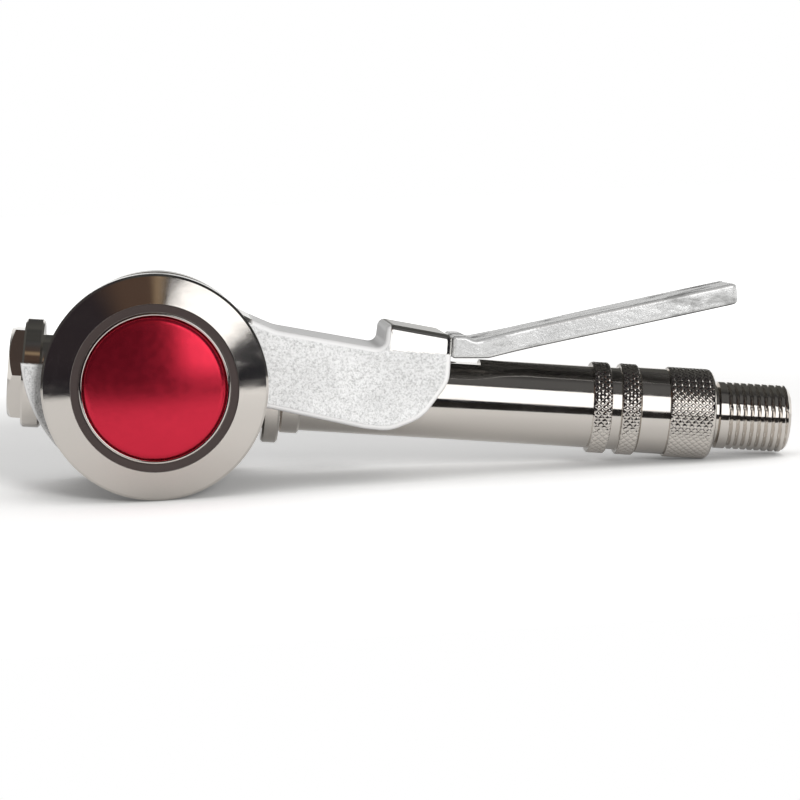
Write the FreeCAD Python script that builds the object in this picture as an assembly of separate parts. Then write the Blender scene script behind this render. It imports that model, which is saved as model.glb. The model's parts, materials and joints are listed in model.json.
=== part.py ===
import FreeCAD, Part
import math
import os

from FreeCAD import Placement, Rotation, Vector

# Hand-held lever inflator for a workshop air line. Sizes are in millimetres.
# The pieces are drawn in a working frame: X runs along the barrel towards the
# inlet thread, Y from the button side to the gauge side, Z up to the lever.
# X = Y = Z = 0 is where the head's axis crosses the barrel's axis.
# The finished pieces are then laid down as the tool rests on a bench.

# Fits and clearances
running_gap = 0.05
slip_gap = 0.15
touch_gap = 0.02
body_gap = 0.3
turned_chamfer = 0.4

# Head, stacked along Y
drum_radius = 17.0
drum_front_y = -11.0
drum_rear_y = 13.2
hub_radius = 10.5
ring_radius = 21.6
ring_wall_length = 5.9
ring_edge_chamfer = 0.45
ring_face_rise = 2.15
ring_groove_radius = 16.0
ring_groove_depth = 0.5
ring_floor_thickness = 1.7
ring_floor_hole_radius = 6.0
ring_shell_radius = 19.3
hub_length = 4.8
button_pocket_depth = 3.7
ring_screw_radius = 1.0
ring_screw_head_radius = 1.7
ring_screw_head_height = 0.9
ring_screw_pitch_radius = 8.2
ring_screw_length = 5.0

# Bleed button in the middle of the ring
button_radius = 13.55
button_edge_radius = 1.2
button_crown = 1.25
button_wall = 1.2
button_skirt = 1.1
button_foot_width = 0.65
button_foot_height = 0.8
button_boss_radius = 3.0
button_travel = 1.5
button_rim_rise = 0.1
button_roof_extra = 0.5
button_cove = 0.8
retainer_width = 0.7
retainer_height = 1.35
retainer_rise = 0.35
bleed_pin_radius = 1.2
bleed_head_radius = 2.0
bleed_head_height = 1.4
bleed_chamber_radius = 2.6
bleed_seat_y = -8.0
bleed_seal_thickness = 0.6
bleed_spring_radius = 1.75
bleed_spring_wire = 0.5
bleed_spring_turns = 4

# Left outlet
outlet_boss_radius = 7.7
outlet_boss_x = -22.0
outlet_collar_radius = 10.63
outlet_collar_length = 3.7
outlet_hex_flats = 17.1
outlet_hex_length = 2.75
outlet_hex_face_share = 0.97
outlet_hex_break = 1.0
outlet_hex_break_rise = 1.6
outlet_shank_radius = 5.1
outlet_shank_length = 9.0
outlet_port_radius = 4.3
outlet_port_depth = 9.0
outlet_seal_thickness = 0.6
gallery_radius = 2.0

# Barrel
union_nut_radius = 10.85
union_nut_x = 21.2
union_nut_length = 3.2
union_gap = 0.2
tube_radius = 8.1
tube_shoulder_radius = 8.75
tube_shoulder_length = 3.9
tube_length = 61.3
tube_thread_radius = 7.3
spigot_radius = 5.5
spigot_length = 5.0
valve_x = 55.0
valve_chamber_radius = 4.0
valve_chamber_floor_z = -5.4
inlet_gallery_radius = 2.2
inlet_gallery_z = -2.6
outlet_gallery_z = 1.9
outlet_gallery_radius = 1.8
swivel_bore_radius = 5.5
swivel_bore_depth = 20.0
lever_flat_z = 7.2
lever_flat_start = 47.5
lever_flat_length = 16.0

# Lever valve
stem_radius = 1.1
poppet_radius = 2.7
poppet_height = 1.4
seat_top_z = 0.2
seat_thickness = 1.0
seat_hole_radius = 1.6
gland_bottom_z = 3.4
gland_height = 3.2
gland_slot_half_width = 0.5
gland_slot_depth = 0.8
seal_thickness = 0.7
cage_wall = 0.9
cage_window_radius = 1.2
stem_top_gap = 0.1
poppet_spring_radius = 2.2
poppet_spring_wire = 0.45
poppet_spring_turns = 2

# Knurled union sleeve and inlet swivel
sleeve_band_radius = 9.05
sleeve_band_length = 3.5
sleeve_groove_radius = 8.15
sleeve_groove_length = 2.2
swivel_plain_radius = 8.5
swivel_plain_length = 6.0
swivel_band_radius = 8.95
swivel_band_length = 9.2
swivel_round = 1.2
swivel_round_drop = 1.5
swivel_neck_radius = 5.9
swivel_neck_length = 2.0
nipple_radius = 6.65
nipple_length = 13.3
nipple_lead = 0.5
nipple_chamfer = 0.8
swivel_spigot_radius = 5.35
swivel_spigot_length = 16.5
air_bore_radius = 3.4
clip_width = 1.0
clip_offset = 4.0
clip_bite = 0.5
clip_gap = 1.2
swivel_seal_offset = 9.0
swivel_seal_section = 0.55
filter_recess = 2.0
filter_length = 6.0
filter_wall = 0.9
filter_floor = 1.0

# Casting that saddles the barrel
casting_half_width = 12.9
casting_root_x = 12.0
casting_root_top_z = 16.2
casting_root_bottom_z = -2.4
dish_plate_thickness = 1.9
dish_radius = 20.2
tongue_top_z = 2.65
tongue_side_x = -22.4
tongue_side_z = -7.4
tongue_foot_x = -11.5
tongue_foot_z = -17.9
tongue_edge_radius = 0.7
tongue_overhang = 0.2
shoulder_x = 17.6
shoulder_z = 13.8
shoulder_bend = 6.0
neck_top_z = 12.0
neck_low_z = 9.7
neck_start_x = 22.7
neck_bottom_z = -3.3
neck_bend = 8.0
wing_front_z = 4.0
wing_front_bend = 6.0
wing_toe_x = 52.0
wing_toe_z = -3.3
wing_toe_bend = 9.0
wing_bottom_z = -6.25
wing_sole_end_x = 45.7
wing_sole_start_x = 40.7
wing_sole_rise = 0.2
wing_sole_bend = 8.0
wing_heel_bend = 12.0
channel_depth = 12.0
hump_start_x = 43.8
hump_draft = 0.3
hump_foot_bend = 1.6
hump_top_z = 14.6
hump_end_x = 56.7
hump_end_z = 13.1
hump_web = 1.35
hump_back_web = 1.75
hump_floor_z = 2.0
hump_corner_radius = 1.4
casting_edge_radius = 1.3
lever_slot_half_width = 5.0
saddle_pin_radius = 1.9
saddle_pin_x = 53.0
saddle_pin_z = 4.9
saddle_pin_bite = 1.6

# Lever
lever_pivot_x = 50.2
lever_pivot_z = 10.55
lever_pin_radius = 1.0
lever_pin_skin = 1.8
lever_travel_deg = 8.0
lever_tongue_half_width = 4.6
lever_tongue_boss_radius = 1.75
lever_tongue_top = 0.8
lever_root_x = 57.1
lever_root_top_z = 12.85
lever_root_bottom_z = 8.45
lever_root_half_width = 9.3
lever_root_length = 5.5
lever_root_corner = 5.0
lever_lip_length = 2.6
lever_lip_rise = 0.1
lever_lip_bend = 1.2
lever_dip_length = 4.4
lever_dip_drop = 0.65
lever_dip_bend = 2.0
lever_belly_length = 7.4
lever_belly_rise = 0.45
lever_belly_bend = 3.0
lever_neck_half_width = 6.3
lever_neck_length = 13.5
lever_neck_bend = 20.0
lever_tip_half_width = 7.6
lever_tip_length = 14.0
lever_tip_bend = 40.0
lever_bow_bend = 120.0
lever_thickness = 4.0
lever_middle_thickness = 4.3
lever_reach_x = 113.2
lever_tip_z = 22.7
lever_tip_lean = 0.8
lever_tip_top_radius = 0.8
lever_tip_bottom_radius = 1.0
lever_middle_z = 14.75
lever_tip_corner_radius = 2.0
lever_edge_radius = 0.7

# Gauge on the rear of the head
gauge_case_radius = 20.25
gauge_case_wall = 1.2
gauge_case_floor = 1.5
gauge_case_depth = 10.8
gauge_case_edge = 1.0
gauge_land_width = 1.3
dial_drop = 2.7
dial_thickness = 0.5
dial_shaft_hole_radius = 1.2
lens_thickness = 1.3
bezel_wall = 0.5
bezel_edge = 0.8
bezel_skirt = 6.5
bezel_lip_width = 1.9
bezel_lip_thickness = 1.1
socket_nose_radius = 4.1
socket_nose_length = 8.5
socket_block = 8.0
socket_block_height = 3.4
socket_overlap = 0.5
socket_bore_radius = 0.9
bourdon_radius = 12.6
bourdon_half_thickness = 0.8
bourdon_half_height = 1.6
bourdon_sweep_deg = 235.0
movement_width = 11.0
movement_height = 8.0
movement_plate = 0.8
movement_dial_gap = 0.6
pillar_radius = 0.8
pillar_inset = 1.5
arbor_radius = 0.5
pointer_hub_radius = 1.7
pointer_thickness = 0.5
pointer_reach = 14.0
pointer_tail = 5.0
pointer_width = 1.3
pointer_tip_width = 0.25
pointer_dial_gap = 0.5
pointer_zero_deg = 135.0
case_screw_radius = 1.1
case_screw_head_radius = 2.0
case_screw_head_height = 1.0
case_screw_length = 5.0
case_screw_pitch_radius = 9.5

# Places that follow from the sizes above
hub_front_y = drum_front_y - hub_length
ring_back_y = drum_front_y - dish_plate_thickness
ring_shoulder_y = ring_back_y - ring_wall_length
ring_front_y = ring_shoulder_y - ring_edge_chamfer - ring_face_rise
groove_y = ring_front_y + ring_groove_depth
ring_floor_y = hub_front_y - ring_floor_thickness
retainer_outer_radius = button_radius + slip_gap + retainer_width
retainer_back_y = groove_y - retainer_rise + retainer_height
button_rim_y = groove_y - button_rim_rise
button_foot_y = retainer_back_y + running_gap
outlet_collar_x = outlet_boss_x - outlet_collar_length
outlet_end_x = outlet_collar_x - outlet_hex_length
tube_start_x = union_nut_x + union_nut_length + union_gap
tube_end_x = tube_start_x + tube_length
sleeve_length = 2 * sleeve_band_length + sleeve_groove_length
swivel_x = tube_end_x + sleeve_length + slip_gap
swivel_band_x = swivel_x + swivel_plain_length
swivel_neck_x = swivel_band_x + swivel_band_length
nipple_x = swivel_neck_x + swivel_neck_length
nipple_end_x = nipple_x + nipple_length
swivel_spigot_x = swivel_x - swivel_spigot_length
gauge_rim_y = drum_rear_y + gauge_case_depth
dial_y = gauge_rim_y - dial_drop
gauge_floor_y = drum_rear_y + gauge_case_floor
bezel_radius = gauge_case_radius + running_gap + bezel_wall
bezel_front_y = gauge_rim_y + lens_thickness + bezel_lip_thickness

X_AXIS = Vector(1, 0, 0)
Y_AXIS = Vector(0, 1, 0)
Z_AXIS = Vector(0, 0, 1)


def rod(radius, start, end, axis=X_AXIS, offset=Vector(0, 0, 0)):
    """A round bar along an axis, from one station to another."""
    base = offset + axis * min(start, end)
    return Part.makeCylinder(radius, abs(end - start), base, axis)


def collar(outer, inner, start, end, axis=X_AXIS, offset=Vector(0, 0, 0)):
    """A round ring along an axis."""
    return rod(outer, start, end, axis, offset).cut(rod(inner, start, end, axis, offset))


def chamfered_rod(radius, start, end):
    """A bar along X with both of its end edges broken."""
    broken = radius - turned_chamfer
    return turned_x([(start, broken), (start + turned_chamfer, radius),
                     (end - turned_chamfer, radius), (end, broken)])


def turned_x(stations):
    """A solid turned about X from (x, radius) stations."""
    points = [Vector(x, 0, r) for x, r in stations]
    points = [Vector(stations[0][0], 0, 0)] + points + [Vector(stations[-1][0], 0, 0)]
    face = Part.Face(Part.makePolygon(points + points[:1]))
    return face.revolve(Vector(0, 0, 0), X_AXIS, 360)


def turned_y(profile):
    """A ring or disc turned about Y from a closed list of edges or points."""
    if isinstance(profile[0], tuple):
        points = [Vector(r, y, 0) for r, y in profile]
        wire = Part.makePolygon(points + points[:1])
    else:
        wire = Part.Wire(profile)
    return Part.Face(wire).revolve(Vector(0, 0, 0), Y_AXIS, 360)


def block(low, high):
    """A box between two corners."""
    size = [b - a for a, b in zip(low, high)]
    return Part.makeBox(*size, Vector(*low))


def around_y(shape, count, first_deg=90.0):
    """Copies of a shape spaced evenly about the head's axis."""
    copies = []
    for index in range(count):
        copy = shape.copy()
        copy.rotate(Vector(0, 0, 0), Y_AXIS, first_deg + index * 360.0 / count)
        copies.append(copy)
    return copies


def coil(radius, wire, turns, start, end, axis, offset=Vector(0, 0, 0)):
    """An open coil spring between two stations on an axis, swept on quarter-turn arcs."""
    length = end - start - wire
    count = round(turns * 4)

    def point(share):
        turn = 2 * math.pi * turns * share
        return Vector(radius * math.cos(turn), radius * math.sin(turn), length * share)

    quarters = []
    for index in range(count):
        points = [point((index + half / 2) / count) for half in range(3)]
        quarters.append(Part.Arc(*points).toShape())
    section = Part.Wire(Part.makeCircle(wire / 2, Vector(radius, 0, 0), Y_AXIS))
    spring = Part.Wire(quarters).makePipeShell([section], True, False)
    spring.Placement = Placement(offset + axis * (start + wire / 2), Rotation(Z_AXIS, axis))
    return spring


def screw(radius, length, head_radius, head_height, seat, axis):
    """A plain screw whose head sits on a seat, its shank along the axis."""
    head = Part.makeCylinder(head_radius, head_height, seat - axis * head_height, axis)
    shank = Part.makeCylinder(radius, length, seat, axis)
    slot = Part.makeBox(2 * head_radius, 0.5 * radius, 0.4 * head_height)
    slot.translate(Vector(-head_radius, -0.25 * radius, 0))
    slot.Placement = Placement(seat - axis * head_height, Rotation(Z_AXIS, axis)) * slot.Placement
    return head.fuse(shank).cut(slot)


def valve_body():
    """Brass drum with the outlet boss, the barrel spigot and the air ways."""
    body = rod(drum_radius, drum_front_y, drum_rear_y, Y_AXIS)
    body = body.fuse(rod(hub_radius, hub_front_y, drum_front_y, Y_AXIS))
    body = body.fuse(rod(outlet_boss_radius, outlet_boss_x, 0))
    body = body.fuse(rod(tube_radius, 0, union_nut_x))
    body = body.fuse(rod(spigot_radius, 0, tube_start_x + spigot_length))
    outlet_seat_x = outlet_boss_x + outlet_shank_length + outlet_seal_thickness
    body = body.cut(rod(outlet_shank_radius + running_gap, outlet_boss_x, outlet_seat_x))
    body = body.cut(rod(gallery_radius, outlet_seat_x, tube_start_x + spigot_length))
    body = body.cut(rod(bleed_pin_radius + slip_gap, hub_front_y, bleed_seat_y, Y_AXIS))
    body = body.cut(rod(bleed_chamber_radius, bleed_seat_y, drum_rear_y, Y_AXIS))
    nose_y = drum_rear_y - socket_nose_length
    body = body.cut(rod(socket_nose_radius + running_gap, nose_y, drum_rear_y, Y_AXIS))
    for hole in around_y(ring_screw_hole(), 3):
        body = body.cut(hole)
    for hole in around_y(case_screw_hole(), 3, 30.0):
        body = body.cut(hole)
    return body


def ring_screw_hole():
    """Tapped hole in the hub for one ring screw."""
    place = Vector(ring_screw_pitch_radius, 0, 0)
    end = ring_floor_y + ring_screw_length
    return rod(ring_screw_radius + running_gap, hub_front_y, end, Y_AXIS, place)


def case_screw_hole():
    """Tapped hole in the drum for one gauge case screw."""
    place = Vector(case_screw_pitch_radius, 0, 0)
    start = gauge_floor_y - case_screw_length
    return rod(case_screw_radius + running_gap, start, drum_rear_y, Y_AXIS, place)


def rounded_outline(corners):
    """Closed wire in the XZ plane from (x, z, corner radius) corners."""
    count = len(corners)
    starts = []
    ends = []
    middles = []
    for index, (x, z, radius) in enumerate(corners):
        here = Vector(x, 0, z)
        before = Vector(corners[index - 1][0], 0, corners[index - 1][1]) - here
        after_corner = corners[(index + 1) % count]
        after = Vector(after_corner[0], 0, after_corner[1]) - here
        before.normalize()
        after.normalize()
        half = before.getAngle(after) / 2
        reach = radius / math.tan(half)
        bisector = before + after
        starts.append(here + before * reach)
        ends.append(here + after * reach)
        if radius > 0:
            bisector.normalize()
            middles.append(here + bisector * (radius / math.sin(half) - radius))
        else:
            middles.append(here)
    edges = []
    for index in range(count):
        if corners[index][2] > 0:
            edges.append(Part.Arc(starts[index], middles[index], ends[index]).toShape())
        following = (index + 1) % count
        if (starts[following] - ends[index]).Length > 1e-6:
            edges.append(Part.LineSegment(ends[index], starts[following]).toShape())
    return Part.Wire(edges)


def line(a, b):
    """A straight edge in the XZ plane."""
    return Part.LineSegment(Vector(a[0], 0, a[1]), Vector(b[0], 0, b[1])).toShape()


def arc(a, middle, b):
    """An arc in the XZ plane through three points."""
    points = [Vector(p[0], 0, p[1]) for p in (a, middle, b)]
    return Part.Arc(*points).toShape()


def slab(wire, half_width):
    """Extrude an outline in the XZ plane to both sides of the middle plane."""
    face = Part.Face(wire)
    face.translate(Vector(0, -half_width, 0))
    return face.extrude(Vector(0, 2 * half_width, 0))


def saddle_outline():
    """Side outline of the neck, the lever housing and the wings."""
    return rounded_outline([
        (casting_root_x, casting_root_top_z, 0),
        (shoulder_x, shoulder_z, shoulder_bend),
        (neck_start_x, neck_top_z, neck_bend),
        (hump_start_x - hump_draft, neck_low_z, hump_foot_bend),
        (hump_start_x, hump_top_z, hump_corner_radius),
        (hump_end_x, hump_end_z, hump_corner_radius),
        (hump_end_x, wing_front_z, wing_front_bend),
        (wing_toe_x, wing_toe_z, wing_toe_bend),
        (wing_sole_end_x, wing_bottom_z, wing_sole_bend),
        (wing_sole_start_x, wing_bottom_z + wing_sole_rise, wing_heel_bend),
        (neck_start_x, neck_bottom_z, neck_bend),
        (casting_root_x, casting_root_bottom_z, 0)])


def is_side_rim(edge):
    """True for an edge of the casting's two side faces, past its root."""
    box = edge.BoundBox
    flat = box.YLength < 0.01 and abs(abs(box.YMax) - casting_half_width) < 0.01
    return flat and box.XMax > casting_root_x + 0.01


def body_casting():
    """Die-cast saddle: dish behind the ring, neck, wings and lever housing."""
    shell = slab(saddle_outline(), casting_half_width)
    rims = [edge for edge in shell.Edges if is_side_rim(edge)]
    shell = shell.makeFillet(casting_edge_radius, rims)
    reach = drum_rear_y + 1
    head_room = drum_radius + slip_gap
    shell = shell.cut(rod(head_room, drum_front_y, reach, Y_AXIS))
    shell = shell.cut(block((0, drum_front_y, -dish_radius), (head_room, reach, 0)))
    shell = shell.fuse(dish_plate())
    shell = shell.cut(barrel_channel())
    shell = shell.cut(lever_housing_hollow())
    shell = shell.cut(rod(hub_radius + slip_gap, -reach, 0, Y_AXIS))
    for pin in saddle_pin_pair(running_gap):
        shell = shell.cut(pin)
    return shell.cut(lever_pin_shape())


def dish_plate():
    """Round plate clamped behind the ring, with its tongue over the outlet."""
    plate = rod(dish_radius, ring_back_y, drum_front_y, Y_AXIS)
    top = (outlet_collar_x - tongue_overhang, tongue_top_z)
    foot = (tongue_foot_x, tongue_foot_z)
    edges = [arc(top, (tongue_side_x, tongue_side_z), foot),
             line(foot, (0, 0)),
             line((0, 0), (0, tongue_top_z)),
             line((0, tongue_top_z), top)]
    tongue = Part.Face(Part.Wire(edges)).extrude(Vector(0, dish_plate_thickness, 0))
    tongue.translate(Vector(0, ring_back_y, 0))
    outer = [edge for edge in tongue.Edges if is_tongue_rim(edge)]
    return plate.fuse(tongue.makeFillet(tongue_edge_radius, outer))


def is_tongue_rim(edge):
    """True for the near outer edges of the tongue."""
    box = edge.BoundBox
    if abs(box.YMax - ring_back_y) > 0.01:
        return False
    return box.XMin < outlet_boss_x and box.ZMin > tongue_foot_z - 1


def barrel_channel():
    """Room for the union nut, the shoulder and the barrel, open downwards."""
    cuts = []
    steps = [(union_nut_radius + body_gap, union_nut_x - body_gap, tube_start_x),
             (tube_shoulder_radius + slip_gap, tube_start_x - running_gap,
              tube_start_x + tube_shoulder_length + slip_gap),
             (tube_radius + running_gap, tube_start_x, hump_end_x + 1),
             (tube_radius + slip_gap, 0, union_nut_x)]
    for radius, start, end in steps:
        cuts.append(rod(radius, start, end))
        cuts.append(block((start, -radius, -channel_depth), (end, radius, 0)))
    return cuts[0].multiFuse(cuts[1:])


def lever_housing_hollow():
    """Hollow in the hump for the lever's tongue, open to the inlet side."""
    slope = (hump_end_z - hump_top_z) / (hump_end_x - hump_start_x)
    start_x = hump_start_x + hump_back_web
    far_x = hump_end_x + 1
    ceiling = [(x, hump_top_z - hump_web + slope * (x - hump_start_x)) for x in (start_x, far_x)]
    edges = [line((start_x, hump_floor_z), ceiling[0]),
             line(ceiling[0], ceiling[1]),
             line(ceiling[1], (far_x, hump_floor_z)),
             line((far_x, hump_floor_z), (start_x, hump_floor_z))]
    hollow = Part.Face(Part.Wire(edges)).extrude(Vector(0, 2 * lever_slot_half_width, 0))
    hollow.translate(Vector(0, -lever_slot_half_width, 0))
    return hollow


def saddle_pin_pair(gap=0.0):
    """The two dowels that key the casting to the barrel."""
    outer = casting_half_width - running_gap
    chord = math.sqrt(tube_radius ** 2 - saddle_pin_z ** 2)
    inner = chord - saddle_pin_bite
    place = Vector(saddle_pin_x, 0, saddle_pin_z)
    radius = saddle_pin_radius + gap
    return [rod(radius, side * inner, side * outer, Y_AXIS, place) for side in (-1, 1)]


def lever_pin_shape():
    """Cross pin of the lever, blind on the button side."""
    place = Vector(lever_pivot_x, 0, lever_pivot_z)
    far = casting_half_width
    return rod(lever_pin_radius, lever_pin_skin - far, far - running_gap, Y_AXIS, place)


def barrel_tube():
    """Turned bar with the valve chamber, the galleries and the swivel bore."""
    shoulder_end = tube_start_x + tube_shoulder_length
    bar = chamfered_rod(tube_shoulder_radius, tube_start_x, shoulder_end)
    bar = bar.fuse(rod(tube_radius, tube_start_x, tube_end_x))
    bar = bar.fuse(rod(tube_thread_radius, tube_start_x, swivel_x - body_gap))
    bar = bar.cut(rod(spigot_radius + running_gap, tube_start_x, tube_start_x + spigot_length))
    bore_start = swivel_x - swivel_bore_depth
    bar = bar.cut(rod(swivel_bore_radius, bore_start, swivel_x))
    chamber = rod(valve_chamber_radius, valve_chamber_floor_z, tube_radius, Z_AXIS,
                  Vector(valve_x, 0, 0))
    bar = bar.cut(chamber)
    bar = bar.cut(rod(inlet_gallery_radius, valve_x, bore_start, X_AXIS,
                      Vector(0, 0, inlet_gallery_z)))
    bar = bar.cut(rod(outlet_gallery_radius, tube_start_x + spigot_length, valve_x, X_AXIS,
                      Vector(0, 0, outlet_gallery_z)))
    flat_end = lever_flat_start + lever_flat_length
    bar = bar.cut(block((lever_flat_start, -tube_radius, lever_flat_z),
                        (flat_end, tube_radius, tube_radius + 1)))
    clip_x = swivel_spigot_x + clip_offset
    bar = bar.cut(rod(swivel_bore_radius + clip_bite, clip_x - running_gap,
                      clip_x + clip_width + running_gap))
    for pin in saddle_pin_pair():
        bar = bar.cut(pin)
    return bar


def union_nut():
    """Round union nut that clamps the barrel to the head."""
    nut = chamfered_rod(union_nut_radius, union_nut_x, union_nut_x + union_nut_length)
    return nut.cut(rod(spigot_radius + running_gap, union_nut_x, tube_start_x))


def outlet_collar():
    """Round lock collar on the outlet boss."""
    ring = chamfered_rod(outlet_collar_radius, outlet_collar_x, outlet_boss_x)
    return ring.cut(rod(outlet_shank_radius + running_gap, outlet_collar_x, outlet_boss_x))


def outlet_fitting():
    """Hexagon fitting with the hose port, screwed in through the collar."""
    corner = outlet_hex_flats / math.sqrt(3)
    corners = []
    for index in range(7):
        turn = math.radians(60 * index)
        corners.append(Vector(outlet_end_x, -corner * math.cos(turn), corner * math.sin(turn)))
    hexagon = Part.Face(Part.makePolygon(corners)).extrude(Vector(outlet_hex_length, 0, 0))
    face_radius = outlet_hex_flats / 2 * outlet_hex_face_share
    far_radius = face_radius + outlet_hex_break_rise
    cone = turned_x([(outlet_end_x, face_radius), (outlet_end_x + outlet_hex_break, far_radius),
                     (outlet_collar_x, far_radius)])
    shank = rod(outlet_shank_radius, outlet_collar_x, outlet_boss_x + outlet_shank_length)
    fitting = hexagon.common(cone).fuse(shank)
    fitting = fitting.cut(rod(outlet_port_radius, outlet_end_x, outlet_end_x + outlet_port_depth))
    return fitting.cut(rod(gallery_radius, outlet_end_x, outlet_boss_x + outlet_shank_length))


def outlet_seal():
    """Flat washer under the end of the outlet fitting."""
    start = outlet_boss_x + outlet_shank_length
    return collar(outlet_shank_radius, gallery_radius, start, start + outlet_seal_thickness)


def head_ring():
    """Bevelled ring with its floor screwed to the hub."""
    inner = retainer_outer_radius
    bevel_outer = ring_radius - ring_edge_chamfer
    bevel_outer_y = ring_shoulder_y - ring_edge_chamfer
    profile = [(ring_radius, ring_back_y), (ring_radius, ring_shoulder_y),
               (bevel_outer, bevel_outer_y), (ring_groove_radius, ring_front_y),
               (ring_groove_radius, groove_y), (inner, groove_y),
               (inner, ring_floor_y), (ring_floor_hole_radius, ring_floor_y),
               (ring_floor_hole_radius, hub_front_y), (ring_shell_radius, hub_front_y),
               (ring_shell_radius, ring_back_y)]
    ring = turned_y(profile)
    hole = rod(ring_screw_radius + running_gap, ring_floor_y, hub_front_y, Y_AXIS,
               Vector(ring_screw_pitch_radius, 0, 0))
    for copy in around_y(hole, 3):
        ring = ring.cut(copy)
    return ring


def ring_screws():
    """Three screws that hold the ring's floor on the hub."""
    seat = Vector(ring_screw_pitch_radius, ring_floor_y, 0)
    one = screw(ring_screw_radius, ring_screw_length - slip_gap, ring_screw_head_radius,
                ring_screw_head_height, seat, Y_AXIS)
    return Part.makeCompound(around_y(one, 3))


def button_retainer():
    """Rolled bead that traps the button in the ring."""
    outer = retainer_outer_radius
    inner = outer - retainer_width
    crest_y = retainer_back_y - retainer_height
    edges = [Part.LineSegment(Vector(outer, retainer_back_y, 0), Vector(outer, crest_y, 0)),
             Part.Arc(Vector(outer, crest_y, 0),
                      Vector((outer + inner) / 2, crest_y - retainer_width / 2, 0),
                      Vector(inner, crest_y, 0)),
             Part.LineSegment(Vector(inner, crest_y, 0), Vector(inner, retainer_back_y, 0)),
             Part.LineSegment(Vector(inner, retainer_back_y, 0), Vector(outer, retainer_back_y, 0))]
    return turned_y([edge.toShape() for edge in edges])


def bleed_button():
    """Domed cap with a foot under the bead and a boss on the bleed pin."""
    rim = button_radius
    edge_y = button_rim_y - button_edge_radius
    shoulder = rim - button_edge_radius
    crown_y = edge_y - button_crown
    foot_y = button_foot_y + button_foot_height
    foot = rim + button_foot_width
    half = button_edge_radius * math.sqrt(0.5)
    dome_radius = (shoulder ** 2 + button_crown ** 2) / (2 * button_crown)
    mid = shoulder / 2
    mid_y = crown_y + dome_radius - math.sqrt(dome_radius ** 2 - mid ** 2)
    inside = rim - button_wall
    roof_y = crown_y + button_wall + button_roof_extra
    cove = inside - button_cove

    def point(radius, y):
        return Vector(radius, y, 0)

    def straight(a, b):
        return Part.LineSegment(point(*a), point(*b)).toShape()

    edges = [
        Part.Arc(point(0, crown_y), point(mid, mid_y), point(shoulder, edge_y)).toShape(),
        Part.Arc(point(shoulder, edge_y),
                 point(shoulder + half, button_rim_y - half),
                 point(rim, button_rim_y)).toShape(),
        straight((rim, button_rim_y), (rim, button_foot_y)),
        straight((rim, button_foot_y), (foot, button_foot_y)),
        straight((foot, button_foot_y), (foot, foot_y)),
        straight((foot, foot_y), (inside, foot_y)),
        straight((inside, foot_y), (inside, roof_y + button_cove)),
        straight((inside, roof_y + button_cove), (cove, roof_y)),
        straight((cove, roof_y), (button_boss_radius, roof_y)),
        straight((button_boss_radius, roof_y), (button_boss_radius, foot_y)),
        straight((button_boss_radius, foot_y), (0, foot_y)),
        straight((0, foot_y), (0, crown_y))]
    return turned_y(edges)


def bleed_pin():
    """Pin from the button's boss to the bleed valve's head."""
    front = button_foot_y + button_foot_height
    head = bleed_seat_y + bleed_seal_thickness
    pin = rod(bleed_pin_radius, front, head, Y_AXIS)
    return pin.fuse(rod(bleed_head_radius, head, head + bleed_head_height, Y_AXIS))


def bleed_seal():
    """Soft washer that the bleed head closes on."""
    return collar(bleed_chamber_radius - slip_gap, bleed_pin_radius + slip_gap, bleed_seat_y,
                  bleed_seat_y + bleed_seal_thickness - touch_gap, Y_AXIS)


def bleed_spring():
    """Return spring behind the bleed head, at its pressed length."""
    start = bleed_seat_y + bleed_seal_thickness + bleed_head_height + touch_gap
    end = drum_rear_y - socket_nose_length - button_travel - slip_gap
    return coil(bleed_spring_radius, bleed_spring_wire, bleed_spring_turns, start, end, Y_AXIS)


def seat_ring():
    """Nylon valve seat under the gland."""
    return collar(valve_chamber_radius - running_gap, seat_hole_radius,
                  seat_top_z - seat_thickness, seat_top_z, Z_AXIS, Vector(valve_x, 0, 0))


def valve_cage():
    """Spacer between the seat and the gland, with a window to the outlet."""
    inner = valve_chamber_radius - cage_wall
    cage = collar(valve_chamber_radius - running_gap, inner, seat_top_z,
                  gland_bottom_z - seal_thickness, Z_AXIS, Vector(valve_x, 0, 0))
    return cage.cut(rod(cage_window_radius, valve_x - valve_chamber_radius, valve_x, X_AXIS,
                        Vector(0, 0, (seat_top_z + gland_bottom_z - seal_thickness) / 2)))


def stem_seal():
    """Seal washer round the stem, pressed down by the gland."""
    return collar(valve_chamber_radius - running_gap, stem_radius + running_gap,
                  gland_bottom_z - seal_thickness, gland_bottom_z, Z_AXIS, Vector(valve_x, 0, 0))


def gland_nut():
    """Slotted gland that guides the stem and closes the chamber."""
    top = gland_bottom_z + gland_height
    nut = collar(valve_chamber_radius - running_gap, stem_radius + running_gap,
                 gland_bottom_z, top, Z_AXIS, Vector(valve_x, 0, 0))
    slot = block((valve_x - valve_chamber_radius, -gland_slot_half_width, top - gland_slot_depth),
                 (valve_x + valve_chamber_radius, gland_slot_half_width, top))
    return nut.cut(slot)


def tongue_bottom_z():
    """Height of the underside of the lever's tongue at rest."""
    return lever_pivot_z - lever_tongue_boss_radius


def stem_travel():
    """How far the fully pressed lever pushes the stem down."""
    turn = math.radians(lever_travel_deg)
    reach = valve_x + stem_radius - lever_pivot_x
    return reach * math.tan(turn) + lever_tongue_boss_radius * (1 / math.cos(turn) - 1)


def valve_stem():
    """Stem with its poppet, pushed down by the lever's tongue."""
    place = Vector(valve_x, 0, 0)
    poppet_top = seat_top_z - seat_thickness
    stem = rod(stem_radius, poppet_top, tongue_bottom_z() - stem_top_gap, Z_AXIS, place)
    return stem.fuse(rod(poppet_radius, poppet_top - poppet_height, poppet_top, Z_AXIS, place))


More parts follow.
